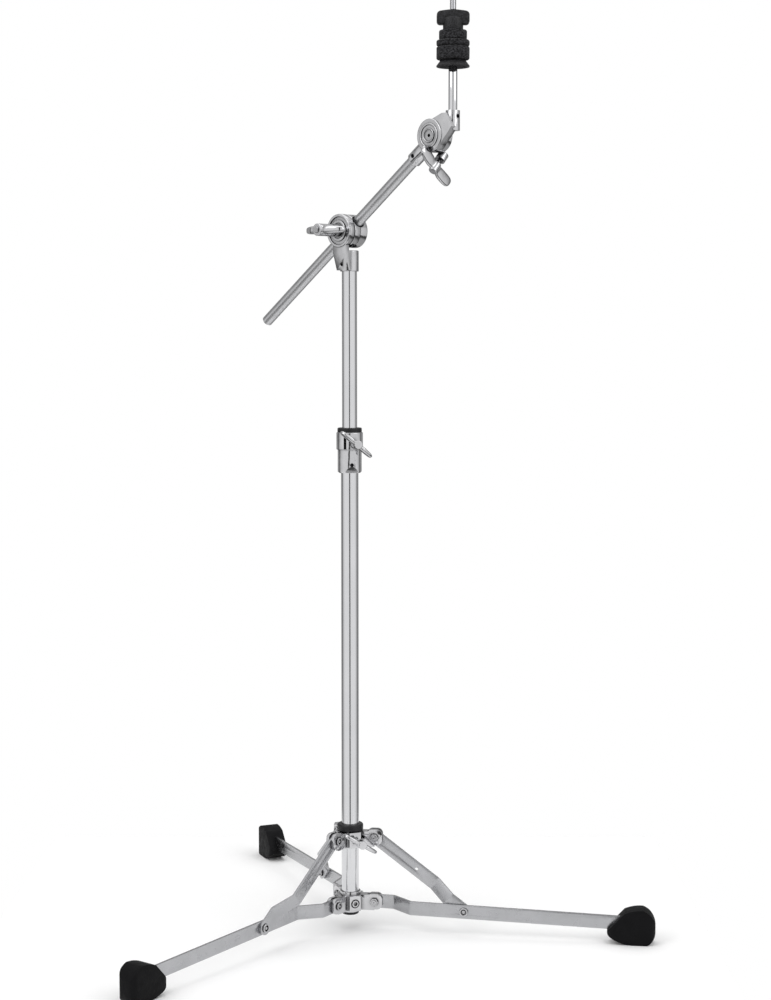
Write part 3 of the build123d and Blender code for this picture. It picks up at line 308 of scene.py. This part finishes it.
def pick_edges(piece, wanted):
    """Select the edges that wanted(edge) is true of."""
    bpy.ops.mesh.select_mode(type="EDGE")
    bpy.ops.mesh.select_all(action="DESELECT")
    mesh = bmesh.from_edit_mesh(piece.data)
    for edge in mesh.edges:
        if wanted(edge):
            edge.select_set(True)
    bmesh.update_edit_mesh(piece.data)


def middle_of_selection(piece):
    """Middle of the selected vertices."""
    mesh = bmesh.from_edit_mesh(piece.data)
    spots = [vertex.co.copy() for vertex in mesh.verts if vertex.select]
    return sum(spots, Vector()) / max(1, len(spots))


def stop_editing():
    bpy.ops.object.mode_set(mode="OBJECT")


def add_modifier(piece, kind, **settings):
    """Add a modifier and apply it."""
    choose_only(piece)
    modifier = piece.modifiers.new(kind.lower(), kind)
    for key, value in settings.items():
        setattr(modifier, key, value)
    bpy.ops.object.modifier_apply(modifier=modifier.name)


def smooth(piece, angle=40):
    choose_only(piece)
    bpy.ops.object.shade_smooth_by_angle(angle=radians(angle))


def settle(piece, matrix=None):
    """Put a piece in its place and bake the place into its mesh."""
    choose_only(piece)
    if matrix is not None:
        piece.matrix_world = matrix
    bpy.ops.object.transform_apply(location=True, rotation=True, scale=True)


def join(name, pieces):
    """Join pieces into one object."""
    choose_only(pieces[0])
    for piece in pieces:
        piece.select_set(True)
    bpy.ops.object.join()
    pieces[0].name = name
    pieces[0].data.name = name
    return pieces[0]


def fit(piece, body, slot, *nodes):
    """Give a finished piece its material, its body and the nodes that it stands for."""
    piece.data.materials.clear()
    piece.data.materials.append(material_for(slot))
    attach(piece, body)
    if nodes:
        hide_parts(*nodes)


def turned_ring(name, inner, outer, low, high, rounding, steps=72, segments=4):
    """A ring turned about Z with rounded corners, from inner to outer radius and low to high."""
    bpy.ops.object.select_all(action="DESELECT")
    bpy.ops.mesh.primitive_plane_add(size=1, rotation=(pi / 2, 0, 0))
    piece = bpy.context.active_object
    piece.scale = (outer - inner, high - low, 1)
    piece.location = ((inner + outer) / 2, 0, (low + high) / 2)
    settle(piece)
    piece = new_piece(name)
    bpy.ops.mesh.select_all(action="SELECT")
    bpy.ops.mesh.bevel(offset=rounding, segments=segments, affect="VERTICES")
    bpy.ops.mesh.select_all(action="SELECT")
    bpy.ops.mesh.delete(type="ONLY_FACE")
    bpy.ops.mesh.select_all(action="SELECT")
    bpy.ops.mesh.spin(steps=steps, angle=2 * pi, center=(0, 0, 0), axis=(0, 0, 1))
    bpy.ops.mesh.select_all(action="SELECT")
    bpy.ops.mesh.remove_doubles(threshold=0.002 * MM)
    bpy.ops.mesh.normals_make_consistent(inside=False)
    stop_editing()
    return piece


def threaded_rod(name, radius, pitch, low, high, steps=24):
    """A rod along Z with a raised helical thread up to its full radius."""
    depth = 0.55 * pitch
    core = radius - depth
    bpy.ops.object.select_all(action="DESELECT")
    bpy.ops.mesh.primitive_cylinder_add(vertices=steps * 2, radius=core, depth=high - low,
                                        location=(0, 0, (low + high) / 2))
    rod = bpy.context.active_object
    settle(rod)
    bpy.ops.object.select_all(action="DESELECT")
    bpy.ops.mesh.primitive_circle_add(vertices=3, radius=0.66 * pitch, location=(core, 0, low + 0.5 * pitch))
    ridge = bpy.context.active_object
    ridge.rotation_euler = (pi / 2, pi / 2, 0)
    ridge.scale = (0.72, 0.72, 0.72)
    settle(ridge)
    reach = max(v.co.x for v in ridge.data.vertices)
    ridge.location.x = radius - reach
    settle(ridge)
    turns = int((high - low) / pitch) - 1
    add_modifier(ridge, "SCREW", axis="Z", steps=steps, render_steps=steps, screw_offset=pitch,
                 iterations=turns, angle=2 * pi, use_merge_vertices=False)
    choose_only(ridge)
    bpy.ops.object.mode_set(mode="EDIT")
    bpy.ops.mesh.select_all(action="SELECT")
    bpy.ops.mesh.fill_holes(sides=3)
    bpy.ops.mesh.select_all(action="SELECT")
    bpy.ops.mesh.normals_make_consistent(inside=False)
    stop_editing()
    rod = join(name, [rod, ridge])
    smooth(rod, 30)
    return rod


def cast_wings(name, hub_radius, hub_length, half_span, sweep, root, tip, thickness):
    """A cast wing handle: hub along Z from 0, wings along X, swept back towards the hub's foot."""
    bpy.ops.object.select_all(action="DESELECT")
    bpy.ops.mesh.primitive_cylinder_add(vertices=12, radius=hub_radius, depth=hub_length,
                                        location=(0, 0, hub_length / 2))
    piece = bpy.context.active_object
    settle(piece)
    piece = new_piece(name)
    for height in (hub_length - root, hub_length - 0.12 * root):
        bpy.ops.mesh.select_all(action="SELECT")
        bpy.ops.mesh.bisect(plane_co=(0, 0, height), plane_no=(0, 0, 1))
    for end in (-1, 1):
        pick_faces(piece, lambda f: f.normal.z * end > 0.9)
        bpy.ops.mesh.inset(thickness=0.16 * hub_radius)
        bpy.ops.mesh.inset(thickness=0.3 * hub_radius)
    reach = half_span - hub_radius
    for side in (-1, 1):
        pick_faces(piece, lambda f: f.normal.x * side > 0.9 and abs(f.normal.z) < 0.3
                   and hub_length - 1.01 * root < f.calc_center_median().z < hub_length - 0.1 * root)
        for share in (0.18, 0.45, 0.80, 1.0):
            before = middle_of_selection(piece)
            bpy.ops.mesh.extrude_region_move()
            target_x = side * (hub_radius + share * reach)
            target_z = hub_length - root / 2 - sweep * share ** 1.3
            bpy.ops.transform.translate(value=(target_x - before.x, 0, target_z - before.z))
            now = middle_of_selection(piece)
            mesh = bmesh.from_edit_mesh(piece.data)
            chosen = [v.co for v in mesh.verts if v.select]
            tall = max(c.z for c in chosen) - min(c.z for c in chosen)
            wide = max(c.y for c in chosen) - min(c.y for c in chosen)
            size_z = (root + (tip - root) * share) * (1.12 if share < 1 else 0.7)
            size_y = thickness * (1.25 - 0.25 * share) * (1.0 if share < 1 else 0.7)
            bpy.ops.transform.resize(value=(0.0, size_y / wide, size_z / tall), center_override=now)
    bpy.ops.mesh.select_all(action="SELECT")
    bpy.ops.mesh.normals_make_consistent(inside=False)
    stop_editing()
    add_modifier(piece, "SUBSURF", levels=3, render_levels=3)
    smooth(piece, 180)
    return piece


def softened(node, name, width, segments=3, least_angle=28):
    """A copy of a casting whose sharp edges are rounded as polishing leaves them."""
    source = frame["nodes"][node]
    piece = bpy.data.objects.new(name, source.data.copy())
    piece.data.name = name
    bpy.context.scene.collection.objects.link(piece)
    choose_only(piece)
    bpy.ops.mesh.customdata_custom_splitnormals_clear()
    bpy.ops.object.mode_set(mode="EDIT")
    bpy.ops.mesh.select_all(action="SELECT")
    bpy.ops.mesh.remove_doubles(threshold=0.004 * MM)
    bpy.ops.mesh.dissolve_limited(angle_limit=radians(0.6))
    stop_editing()
    add_modifier(piece, "BEVEL", width=width, segments=segments, limit_method="ANGLE",
                 angle_limit=radians(least_angle), use_clamp_overlap=True, miter_outer="MITER_ARC")
    smooth(piece, 35)
    return piece


# ---------------------------------------------------------------- places from the frame
def joint_frame(name, across):
    """Matrix whose Z runs along a joint's axis and whose X lies nearest to across, at the joint."""
    joint = JOINTS[name]
    along = Vector(joint["axis"]).normalized()
    side = (across - along * across.dot(along)).normalized()
    up = along.cross(side)
    matrix = Matrix((side, up, along)).transposed().to_4x4()
    matrix.translation = Vector(joint.get("pos_m", (0, 0, 0)))
    return matrix


def facing_matrix(spot, facing, up):
    """Matrix at a spot whose Z runs along facing and whose Y lies nearest to up."""
    side = up.cross(facing).normalized()
    matrix = Matrix((side, facing.cross(side), facing)).transposed().to_4x4()
    matrix.translation = spot
    return matrix


def reach_along(node, origin, axis):
    """How far a node reaches, lowest and highest, along an axis from an origin."""
    spots = [(vertex.co - origin).dot(axis) for vertex in frame["nodes"][node].data.vertices]
    return min(spots), max(spots)


def middle(node):
    low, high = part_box(node)
    return (low + high) / 2


# ---------------------------------------------------------------- properties
class StandSizes(bpy.types.PropertyGroup):
    """Sizes of the details that the engineering parts leave plain."""

    felt_round: FloatProperty(name="Felt rounding", description="Rounding of the felts' rims",
                              default=2.2 * MM, unit="LENGTH")
    felt_unevenness: FloatProperty(name="Felt unevenness", description="How far the felt's surface wanders",
                                   default=0.5 * MM, unit="LENGTH")
    casting_round: FloatProperty(name="Casting rounding", description="Rounding of the castings' edges",
                                 default=0.7 * MM, unit="LENGTH")
    bar_round: FloatProperty(name="Bar rounding", description="Rounding of the flat bars' edges",
                             default=0.6 * MM, unit="LENGTH")
    foot_round: FloatProperty(name="Foot rounding", description="Rounding of the feet's edges",
                              default=2.6 * MM, unit="LENGTH")
    post_pitch: FloatProperty(name="Post thread pitch", description="Pitch of the post's thread",
                              default=1.25 * MM, unit="LENGTH")
    stud_pitch: FloatProperty(name="Stud thread pitch", description="Pitch of the wing bolts' threads",
                              default=1.0 * MM, unit="LENGTH")
    ring_height: FloatProperty(name="Ring height", description="How far the tilter's rings stand up",
                               default=1.2 * MM, unit="LENGTH")


class StandStage(bpy.types.PropertyGroup):
    """The camera and the floor."""

    eye: FloatVectorProperty(name="Eye", description="Where the camera stands", subtype="TRANSLATION",
                             default=(0.0455, -2.481, 0.767))
    pitch: FloatProperty(name="Pitch", description="How far the camera looks down", subtype="ANGLE",
                         default=radians(4.87))
    lens: FloatProperty(name="Lens", description="Focal length in millimetres on a 36 mm wide frame",
                        default=91.33)
    floor_size: FloatProperty(name="Floor size", description="Side of the floor", default=0.92,
                              unit="LENGTH")


# ---------------------------------------------------------------- operators
class STAND_OT_finish_parts(bpy.types.Operator):
    """Give every engineering part its material"""

    bl_idname = "stand.finish_parts"
    bl_label = "Finish the parts"

    def execute(self, context):
        for node, piece in frame["nodes"].items():
            piece.data.materials.clear()
            piece.data.materials.append(material_for(SLOT_OF[node]))
        rod = frame["nodes"]["boom_rod"]
        rod.data.materials.clear()
        rod.data.materials.append(chrome_boom())
        return {"FINISHED"}


class STAND_OT_castings(bpy.types.Operator):
    """Round the castings' and bars' edges as polishing leaves them"""

    bl_idname = "stand.castings"
    bl_label = "Castings and bars"

    def execute(self, context):
        sizes = context.scene.stand_sizes
        castings = ["leg_collar", "slide_collar", "height_clamp", "boom_bracket", "boom_clamp_front",
                    "boom_clamp_rear", "tilter_base", "tilter_head"]
        for node in castings:
            piece = softened(node, f"{node}_casting", sizes.casting_round)
            fit(piece, BODY_OF[node], SLOT_OF[node], node)
        for number in LEGS:
            for node in (f"leg_{number}", f"brace_{number}"):
                piece = softened(node, f"{node}_bar", sizes.bar_round)
                fit(piece, BODY_OF[node], SLOT_OF[node], node)
        return {"FINISHED"}


class STAND_OT_feet(bpy.types.Operator):
    """Model the rubber feet"""

    bl_idname = "stand.feet"
    bl_label = "Feet"

    def execute(self, context):
        sizes = context.scene.stand_sizes
        for number in LEGS:
            node = f"foot_{number}"
            piece = softened(node, f"{node}_rubber", sizes.foot_round, 4, 35)
            fit(piece, BODY_OF[node], SLOT_OF[node], node)
        return {"FINISHED"}


# Joint, node, roll in degrees (None: upright), then in mm: hub length, half span, wing root, wing tip, sweep.
WING_BOLTS = (
    ("collar_wing_turn", "collar_wing_bolt", -32, 15, 26, 12, 11, 4),
    ("height_wing_turn", "height_wing_bolt", -39, 15, 26, 12, 11, 4),
    ("tilter_wing_turn", "tilter_wing_bolt", None, 13, 31, 13, 13, 3),
)


class STAND_OT_wing_handles(bpy.types.Operator):
    """Model the cast wing handles and their threaded studs"""

    bl_idname = "stand.wing_handles"
    bl_label = "Wing handles"

    def execute(self, context):
        sizes = context.scene.stand_sizes
        up = Vector((0, 0, 1))
        hub_radius, stud_radius, thickness, overlap = 5.6 * MM, 3 * MM, 5.4 * MM, 1 * MM
        for joint, node, roll, *lengths in WING_BOLTS:
            hub, half_span, root, tip, sweep = (length * MM for length in lengths)
            along = Vector(JOINTS[joint]["axis"]).normalized()
            across = up
            if roll is not None:
                across = up.cross(along) * cos(radians(roll)) + up * sin(radians(roll))
            place = joint_frame(joint, across)
            origin = place.translation.copy()
            low, high = reach_along(node, origin, along)
            place.translation = origin + along * (high - hub)
            wings = cast_wings(f"{node}_wings", hub_radius, hub, half_span, sweep, root, tip, thickness)
            stud = threaded_rod(f"{node}_stud", stud_radius, sizes.stud_pitch, low - high + hub, overlap)
            handle = join(f"{node}_handle", [wings, stud])
            settle(handle, place)
            fit(handle, BODY_OF[node], "chrome_casting", node)
        place = joint_frame("boom_wing_turn", Vector((1, -1, 0)))
        along = Vector(JOINTS["boom_wing_turn"]["axis"]).normalized()
        origin = place.translation.copy()
        low, high = reach_along("boom_wing_nut", origin, along)
        place.translation = origin + along * low
        handle = cast_wings("boom_wing_handle", 8 * MM, high - low, 33 * MM, 9 * MM, 15 * MM, 10 * MM, 9 * MM)
        settle(handle, place)
        fit(handle, BODY_OF["boom_wing_nut"], "chrome_casting", "boom_wing_nut")
        return {"FINISHED"}


class STAND_OT_felts(bpy.types.Operator):
    """Model the wool felts"""

    bl_idname = "stand.felts"
    bl_label = "Felts"

    def execute(self, context):
        sizes = context.scene.stand_sizes
        bore = 6.2 * MM
        texture = bpy.data.textures.new("felt_unevenness", "CLOUDS")
        texture.noise_scale = 6 * MM
        for node in ("lower_felt", "upper_felt", "small_felt"):
            low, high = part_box(node)
            centre = (low + high) / 2
            piece = turned_ring(f"{node}_wool", bore, (high.x - low.x) / 2, low.z, high.z,
                                sizes.felt_round, 96, 5)
            settle(piece, Matrix.Translation((centre.x, centre.y, 0)))
            add_modifier(piece, "DISPLACE", texture=texture, strength=sizes.felt_unevenness,
                         mid_level=0.75, texture_coords="LOCAL")
            smooth(piece, 60)
            fit(piece, BODY_OF[node], SLOT_OF[node], node)
        return {"FINISHED"}


class STAND_OT_post(bpy.types.Operator):
    """Model the cymbal post with its threaded top"""

    bl_idname = "stand.post"
    bl_label = "Cymbal post"

    def execute(self, context):
        sizes = context.scene.stand_sizes
        low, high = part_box("cymbal_post")
        centre = (low + high) / 2
        core, thread_radius, overlap = 1 * MM, 4 * MM, 2 * MM
        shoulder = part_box("cymbal_seat")[0].z + 4 * MM
        shank = turned_ring("cymbal_post_shank", core, (high.x - low.x) / 2, low.z, shoulder, 0.4 * MM, 64, 2)
        thread = threaded_rod("cymbal_post_thread", thread_radius, sizes.post_pitch,
                              shoulder - overlap, high.z)
        post = join("cymbal_post_rod", [shank, thread])
        smooth(post, 35)
        settle(post, Matrix.Translation((centre.x, centre.y, 0)))
        fit(post, BODY_OF["cymbal_post"], "chrome_tube", "cymbal_post")
        return {"FINISHED"}


def domed_stud(name, radius, height):
    """A polished dome on Z, flat side down at 0."""
    bpy.ops.object.select_all(action="DESELECT")
    bpy.ops.mesh.primitive_uv_sphere_add(segments=32, ring_count=16, radius=radius)
    piece = new_piece(name)
    bpy.ops.mesh.select_all(action="SELECT")
    bpy.ops.mesh.bisect(plane_co=(0, 0, 0), plane_no=(0, 0, 1), use_fill=True, clear_inner=True)
    stop_editing()
    piece.scale = (1, 1, height / radius)
    settle(piece)
    return piece


def ringed_head(name, radius, height, shank_radius, shank):
    """A fastener's head on Z: raised rim, groove and domed middle, with its shank below 0."""
    foot = -0.02 * MM
    rim = turned_ring(f"{name}_rim", 0.66 * radius, radius, foot, height, 0.3 * height, 48, 3)
    floor = turned_ring(f"{name}_floor", 0.1 * radius, 0.8 * radius, foot, 0.3 * height, 0.05 * height, 48, 2)
    dome = domed_stud(f"{name}_dome", 0.5 * radius, 1.05 * height)
    stem = turned_ring(f"{name}_stem", 0.2 * shank_radius, shank_radius, -shank, 0.1 * height,
                       0.1 * MM, 32, 2)
    head = join(name, [rim, floor, dome, stem])
    smooth(head, 40)
    return head


class STAND_OT_fasteners(bpy.types.Operator):
    """Model the rivets and the heads of the pivot bolts"""

    bl_idname = "stand.fasteners"
    bl_label = "Rivets and pivot bolts"

    def execute(self, context):
        up = Vector((0, 0, 1))
        shank_radius = 3 * MM
        rivet_radius, rivet_height, rivet_top = 5.5 * MM, 2.2 * MM, 2.3 * MM
        bolt_radius, bolt_height, bolt_shank, bolt_seat = 4.75 * MM, 2.6 * MM, 16.1 * MM, 6.1 * MM
        for number in LEGS:
            axis = Vector(JOINTS[f"leg_fold_{number}"]["axis"]).normalized()
            for node, facing in ((f"leg_rivet_{number}", axis), (f"brace_rivet_{number}", -axis)):
                centre = middle(node)
                low, high = reach_along(node, centre, facing)
                head = ringed_head(f"{node}_head", rivet_radius, rivet_height, shank_radius,
                                   high - low - rivet_top)
                place = facing_matrix(centre + facing * (high - rivet_height), facing, up)
                settle(head, place)
                fit(head, BODY_OF[node], "chrome_screw", node)
        for node, joint in (("leg_pivot_bolts", "leg_fold"), ("brace_pivot_bolts", "brace_swing")):
            heads = []
            for number in LEGS:
                spot = JOINTS[f"{joint}_{number}"]
                facing = -Vector(spot["axis"]).normalized()
                head = ringed_head(f"{node}_{number}", bolt_radius, bolt_height, shank_radius, bolt_shank)
                settle(head, facing_matrix(Vector(spot["pos_m"]) + facing * bolt_seat, facing, up))
                heads.append(head)
            bolts = join(f"{node}_turned", heads)
            fit(bolts, BODY_OF[node], "chrome_screw", node)
        return {"FINISHED"}


class STAND_OT_clamp_rim(bpy.types.Operator):
    """Model the raised rim on the boom bracket's ear"""

    bl_idname = "stand.clamp_rim"
    bl_label = "Bracket rim"

    def execute(self, context):
        place = joint_frame("boom_tilt", Vector((1, -1, 0)))
        axis = Vector(JOINTS["boom_tilt"]["axis"]).normalized()
        face = reach_along("boom_bracket", place.translation, axis)[1] - 1.6 * MM
        foot = face - 0.5 * MM
        outer = turned_ring("bracket_rim_outer", 17.4 * MM, 20.6 * MM, foot, face + 1.5 * MM, 0.7 * MM)
        inner = turned_ring("bracket_rim_inner", 9.2 * MM, 13.2 * MM, foot, face + 2.2 * MM, 0.8 * MM)
        ring = join("bracket_rims", [outer, inner])
        smooth(ring, 60)
        settle(ring, place)
        fit(ring, BODY_OF["boom_bracket"], "chrome_casting")
        return {"FINISHED"}


class STAND_OT_tilter_rings(bpy.types.Operator):
    """Model the plain raised rings on the tilter's face"""

    bl_idname = "stand.tilter_rings"
    bl_label = "Tilter rings"

    def execute(self, context):
        sizes = context.scene.stand_sizes
        place = joint_frame("tilter_tilt", Vector((1, -1, 0)))
        face = 13 * MM
        rings = []
        for index, (inner, outer) in enumerate(((7.2, 8.6), (12.4, 14.8))):
            ring = turned_ring(f"tilter_ring_{index + 1}", inner * MM, outer * MM, face - 1 * MM,
                               face + sizes.ring_height, 0.65 * MM)
            rings.append(ring)
        ring = join("tilter_face_rings", rings)
        smooth(ring, 60)
        settle(ring, place)
        fit(ring, BODY_OF["tilter_head"], "chrome_casting")
        return {"FINISHED"}


class STAND_OT_nut(bpy.types.Operator):
    """Round the cymbal nut and the seat as moulding leaves them"""

    bl_idname = "stand.nut"
    bl_label = "Cymbal nut and seat"

    def execute(self, context):
        seat = softened("cymbal_seat", "cymbal_seat_moulding", 0.5 * MM, 4)
        fit(seat, BODY_OF["cymbal_seat"], SLOT_OF["cymbal_seat"], "cymbal_seat")
        low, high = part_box("cymbal_nut")
        centre = (low + high) / 2
        hub_height, crown, depth = 6 * MM, 2.4 * MM, 13 * MM
        size = Vector((high.x - low.x, depth, high.z - low.z - hub_height - crown))
        bpy.ops.object.select_all(action="DESELECT")
        bpy.ops.mesh.primitive_cube_add(size=1)
        wings = bpy.context.active_object
        wings.scale = size
        wings.location = (0, 0, low.z + hub_height + size.z / 2)
        settle(wings)
        wings = new_piece("cymbal_nut_wings")
        top = low.z + hub_height + size.z
        for place in (-0.32, -0.16, 0.0, 0.16, 0.32):
            bpy.ops.mesh.select_all(action="SELECT")
            bpy.ops.mesh.bisect(plane_co=(place * size.x, 0, 0), plane_no=(1, 0, 0))
        for share, lift in ((0.4, 0.5), (0.25, 0.3), (0.1, 0.2)):
            pick_edges(wings, lambda e: all(v.co.z > top - 1 * MM and abs(v.co.x) < share * size.x
                                            for v in e.verts))
            bpy.ops.transform.translate(value=(0, 0, lift * crown))
        pick_edges(wings, lambda e: all(abs(v.co.x) > 0.45 * size.x for v in e.verts)
                   and abs(e.verts[0].co.y - e.verts[1].co.y) > 0.5 * size.y)
        bpy.ops.mesh.bevel(offset=4 * MM, segments=6)
        stop_editing()
        add_modifier(wings, "BEVEL", width=1.2 * MM, segments=3, limit_method="ANGLE",
                     angle_limit=radians(50))
        hub = turned_ring("cymbal_nut_hub", 4.1 * MM, 12 * MM, low.z, low.z + 14 * MM, 0.9 * MM, 64, 3)
        nut = join("cymbal_nut_moulding", [wings, hub])
        smooth(nut, 40)
        settle(nut, Matrix.Translation((centre.x, centre.y, 0)))
        fit(nut, BODY_OF["cymbal_nut"], SLOT_OF["cymbal_nut"], "cymbal_nut")
        return {"FINISHED"}


# Name, place, side and power of each softbox.
SOFTBOXES = (
    ("key_softbox", (-1.6, -1.5, 2.2), 1.4, 12.5),
    ("fill_softbox", (1.8, -1.2, 1.8), 1.4, 7.5),
    ("top_softbox", (0.0, 0.4, 2.8), 1.8, 10.5),
)
# Brightness of the studio from behind the camera (0) round to behind the object (1).
ROUND_THE_STUDIO = ((0.0, 0.05), (0.025, 0.06), (0.055, 0.98), (0.36, 1.0), (0.5, 0.8), (0.6, 0.3),
                    (0.66, 0.12), (0.74, 0.5), (0.88, 0.3), (1.0, 0.45))
# Brightness below the horizon: where each band starts, where it is full, and its value.
BANDS_BENEATH = ((-0.36, -0.42, 0.08), (-0.52, -0.64, 0.45))


class STAND_OT_stage(bpy.types.Operator):
    """Set the floor, the light and the camera"""

    bl_idname = "stand.stage"
    bl_label = "Stage"

    def execute(self, context):
        stage = context.scene.stand_stage
        bpy.ops.object.select_all(action="DESELECT")
        bpy.ops.mesh.primitive_plane_add(size=stage.floor_size, location=(0, 0, -0.2 * MM))
        floor = bpy.context.active_object
        floor.name = "studio_floor"
        settle(floor)
        floor.data.materials.append(painted_floor())

        camera_data = bpy.data.cameras.new("camera")
        camera_data.sensor_fit = "HORIZONTAL"
        camera_data.sensor_width = 36.0
        camera_data.lens = stage.lens
        camera = bpy.data.objects.new("camera", camera_data)
        camera.location = stage.eye
        camera.rotation_euler = (pi / 2 - stage.pitch, 0, 0)
        context.scene.collection.objects.link(camera)
        context.scene.camera = camera

        for name, spot, size, power in SOFTBOXES:
            lamp = bpy.data.lights.new(name, "AREA")
            lamp.shape = "SQUARE"
            lamp.size = size
            lamp.energy = power
            lamp_object = bpy.data.objects.new(name, lamp)
            lamp_object.location = spot
            aim = Vector((0, 0, 0.6)) - Vector(spot)
            lamp_object.rotation_euler = aim.to_track_quat("-Z", "Y").to_euler()
            context.scene.collection.objects.link(lamp_object)

        world = bpy.data.worlds.new("studio")
        world.use_nodes = True
        tree = world.node_tree
        tree.nodes.clear()
        direction = add_node(tree, "ShaderNodeTexCoord").outputs["Generated"]
        parts = add_node(tree, "ShaderNodeSeparateXYZ", links={0: direction})
        forward = add_node(tree, "ShaderNodeMath", {"operation": "MULTIPLY", 1: -1.0},
                           {0: parts.outputs["Y"]})
        turn = add_node(tree, "ShaderNodeMath", {"operation": "ARCTAN2"},
                        {0: parts.outputs["X"], 1: forward.outputs[0]})
        away = add_node(tree, "ShaderNodeMath", {"operation": "ABSOLUTE"}, {0: turn.outputs[0]})
        share = add_node(tree, "ShaderNodeMath", {"operation": "DIVIDE", 1: pi}, {0: away.outputs[0]})
        ramp = add_node(tree, "ShaderNodeValToRGB", links={0: share.outputs[0]})
        while len(ramp.color_ramp.elements) < len(ROUND_THE_STUDIO):
            ramp.color_ramp.elements.new(0.5)
        for element, (position, value) in zip(ramp.color_ramp.elements, ROUND_THE_STUDIO):
            element.position = position
            element.color = (value, value, value, 1)
        overhead = add_node(tree, "ShaderNodeMapRange",
                            {"From Min": 0.45, "From Max": 0.8, "To Min": 0.0, "To Max": 1.0},
                            {"Value": parts.outputs["Z"]})
        lit = add_node(tree, "ShaderNodeMixRGB", {"blend_type": "MIX", 2: (0.95, 0.95, 0.95, 1)},
                       {0: overhead.outputs[0], 1: ramp.outputs[0]})
        for top, foot, value in BANDS_BENEATH:
            beneath = add_node(tree, "ShaderNodeMapRange",
                               {"From Min": top, "From Max": foot, "To Min": 0.0, "To Max": 1.0},
                               {"Value": parts.outputs["Z"]})
            lit = add_node(tree, "ShaderNodeMixRGB", {"blend_type": "MIX", 2: (value, value, value, 1)},
                           {0: beneath.outputs[0], 1: lit.outputs[0]})
        seen = add_node(tree, "ShaderNodeLightPath").outputs["Is Camera Ray"]
        shown = add_node(tree, "ShaderNodeMixRGB", {"blend_type": "MIX", 2: (1.0, 1.0, 1.0, 1)},
                         {0: seen, 1: lit.outputs[0]})
        background = add_node(tree, "ShaderNodeBackground", {"Strength": 1.0}, {"Color": shown.outputs[0]})
        add_node(tree, "ShaderNodeOutputWorld", links={"Surface": background.outputs[0]})
        context.scene.world = world
        context.scene.view_settings.view_transform = "Standard"
        return {"FINISHED"}


STEPS = (STAND_OT_finish_parts, STAND_OT_castings, STAND_OT_feet, STAND_OT_fasteners,
         STAND_OT_wing_handles, STAND_OT_felts, STAND_OT_post, STAND_OT_clamp_rim,
         STAND_OT_tilter_rings, STAND_OT_nut, STAND_OT_stage)


class STAND_PT_pieces(bpy.types.Panel):
    """Buttons for the stand's pieces and stage"""

    bl_label = "Cymbal boom stand"
    bl_idname = "STAND_PT_pieces"
    bl_space_type = "VIEW_3D"
    bl_region_type = "UI"
    bl_category = "Boom stand"

    def draw(self, context):
        for name in StandSizes.__annotations__:
            self.layout.prop(context.scene.stand_sizes, name)
        for name in StandStage.__annotations__:
            self.layout.prop(context.scene.stand_stage, name)
        for step in STEPS:
            self.layout.operator(step.bl_idname)


CLASSES = (StandSizes, StandStage) + STEPS + (STAND_PT_pieces,)


def register():
    for cls in CLASSES:
        bpy.utils.register_class(cls)
    bpy.types.Scene.stand_sizes = PointerProperty(type=StandSizes)
    bpy.types.Scene.stand_stage = PointerProperty(type=StandStage)


def unregister():
    del bpy.types.Scene.stand_stage
    del bpy.types.Scene.stand_sizes
    for cls in reversed(CLASSES):
        bpy.utils.unregister_class(cls)


def main():
    register()
    bpy.ops.stand.finish_parts()
    bpy.ops.stand.castings()
    bpy.ops.stand.feet()
    bpy.ops.stand.fasteners()
    bpy.ops.stand.wing_handles()
    bpy.ops.stand.felts()
    bpy.ops.stand.post()
    bpy.ops.stand.clamp_rim()
    bpy.ops.stand.tilter_rings()
    bpy.ops.stand.nut()
    bpy.ops.stand.stage()
    bpy.context.view_layer.update()


if __name__ == "__main__":
    main()
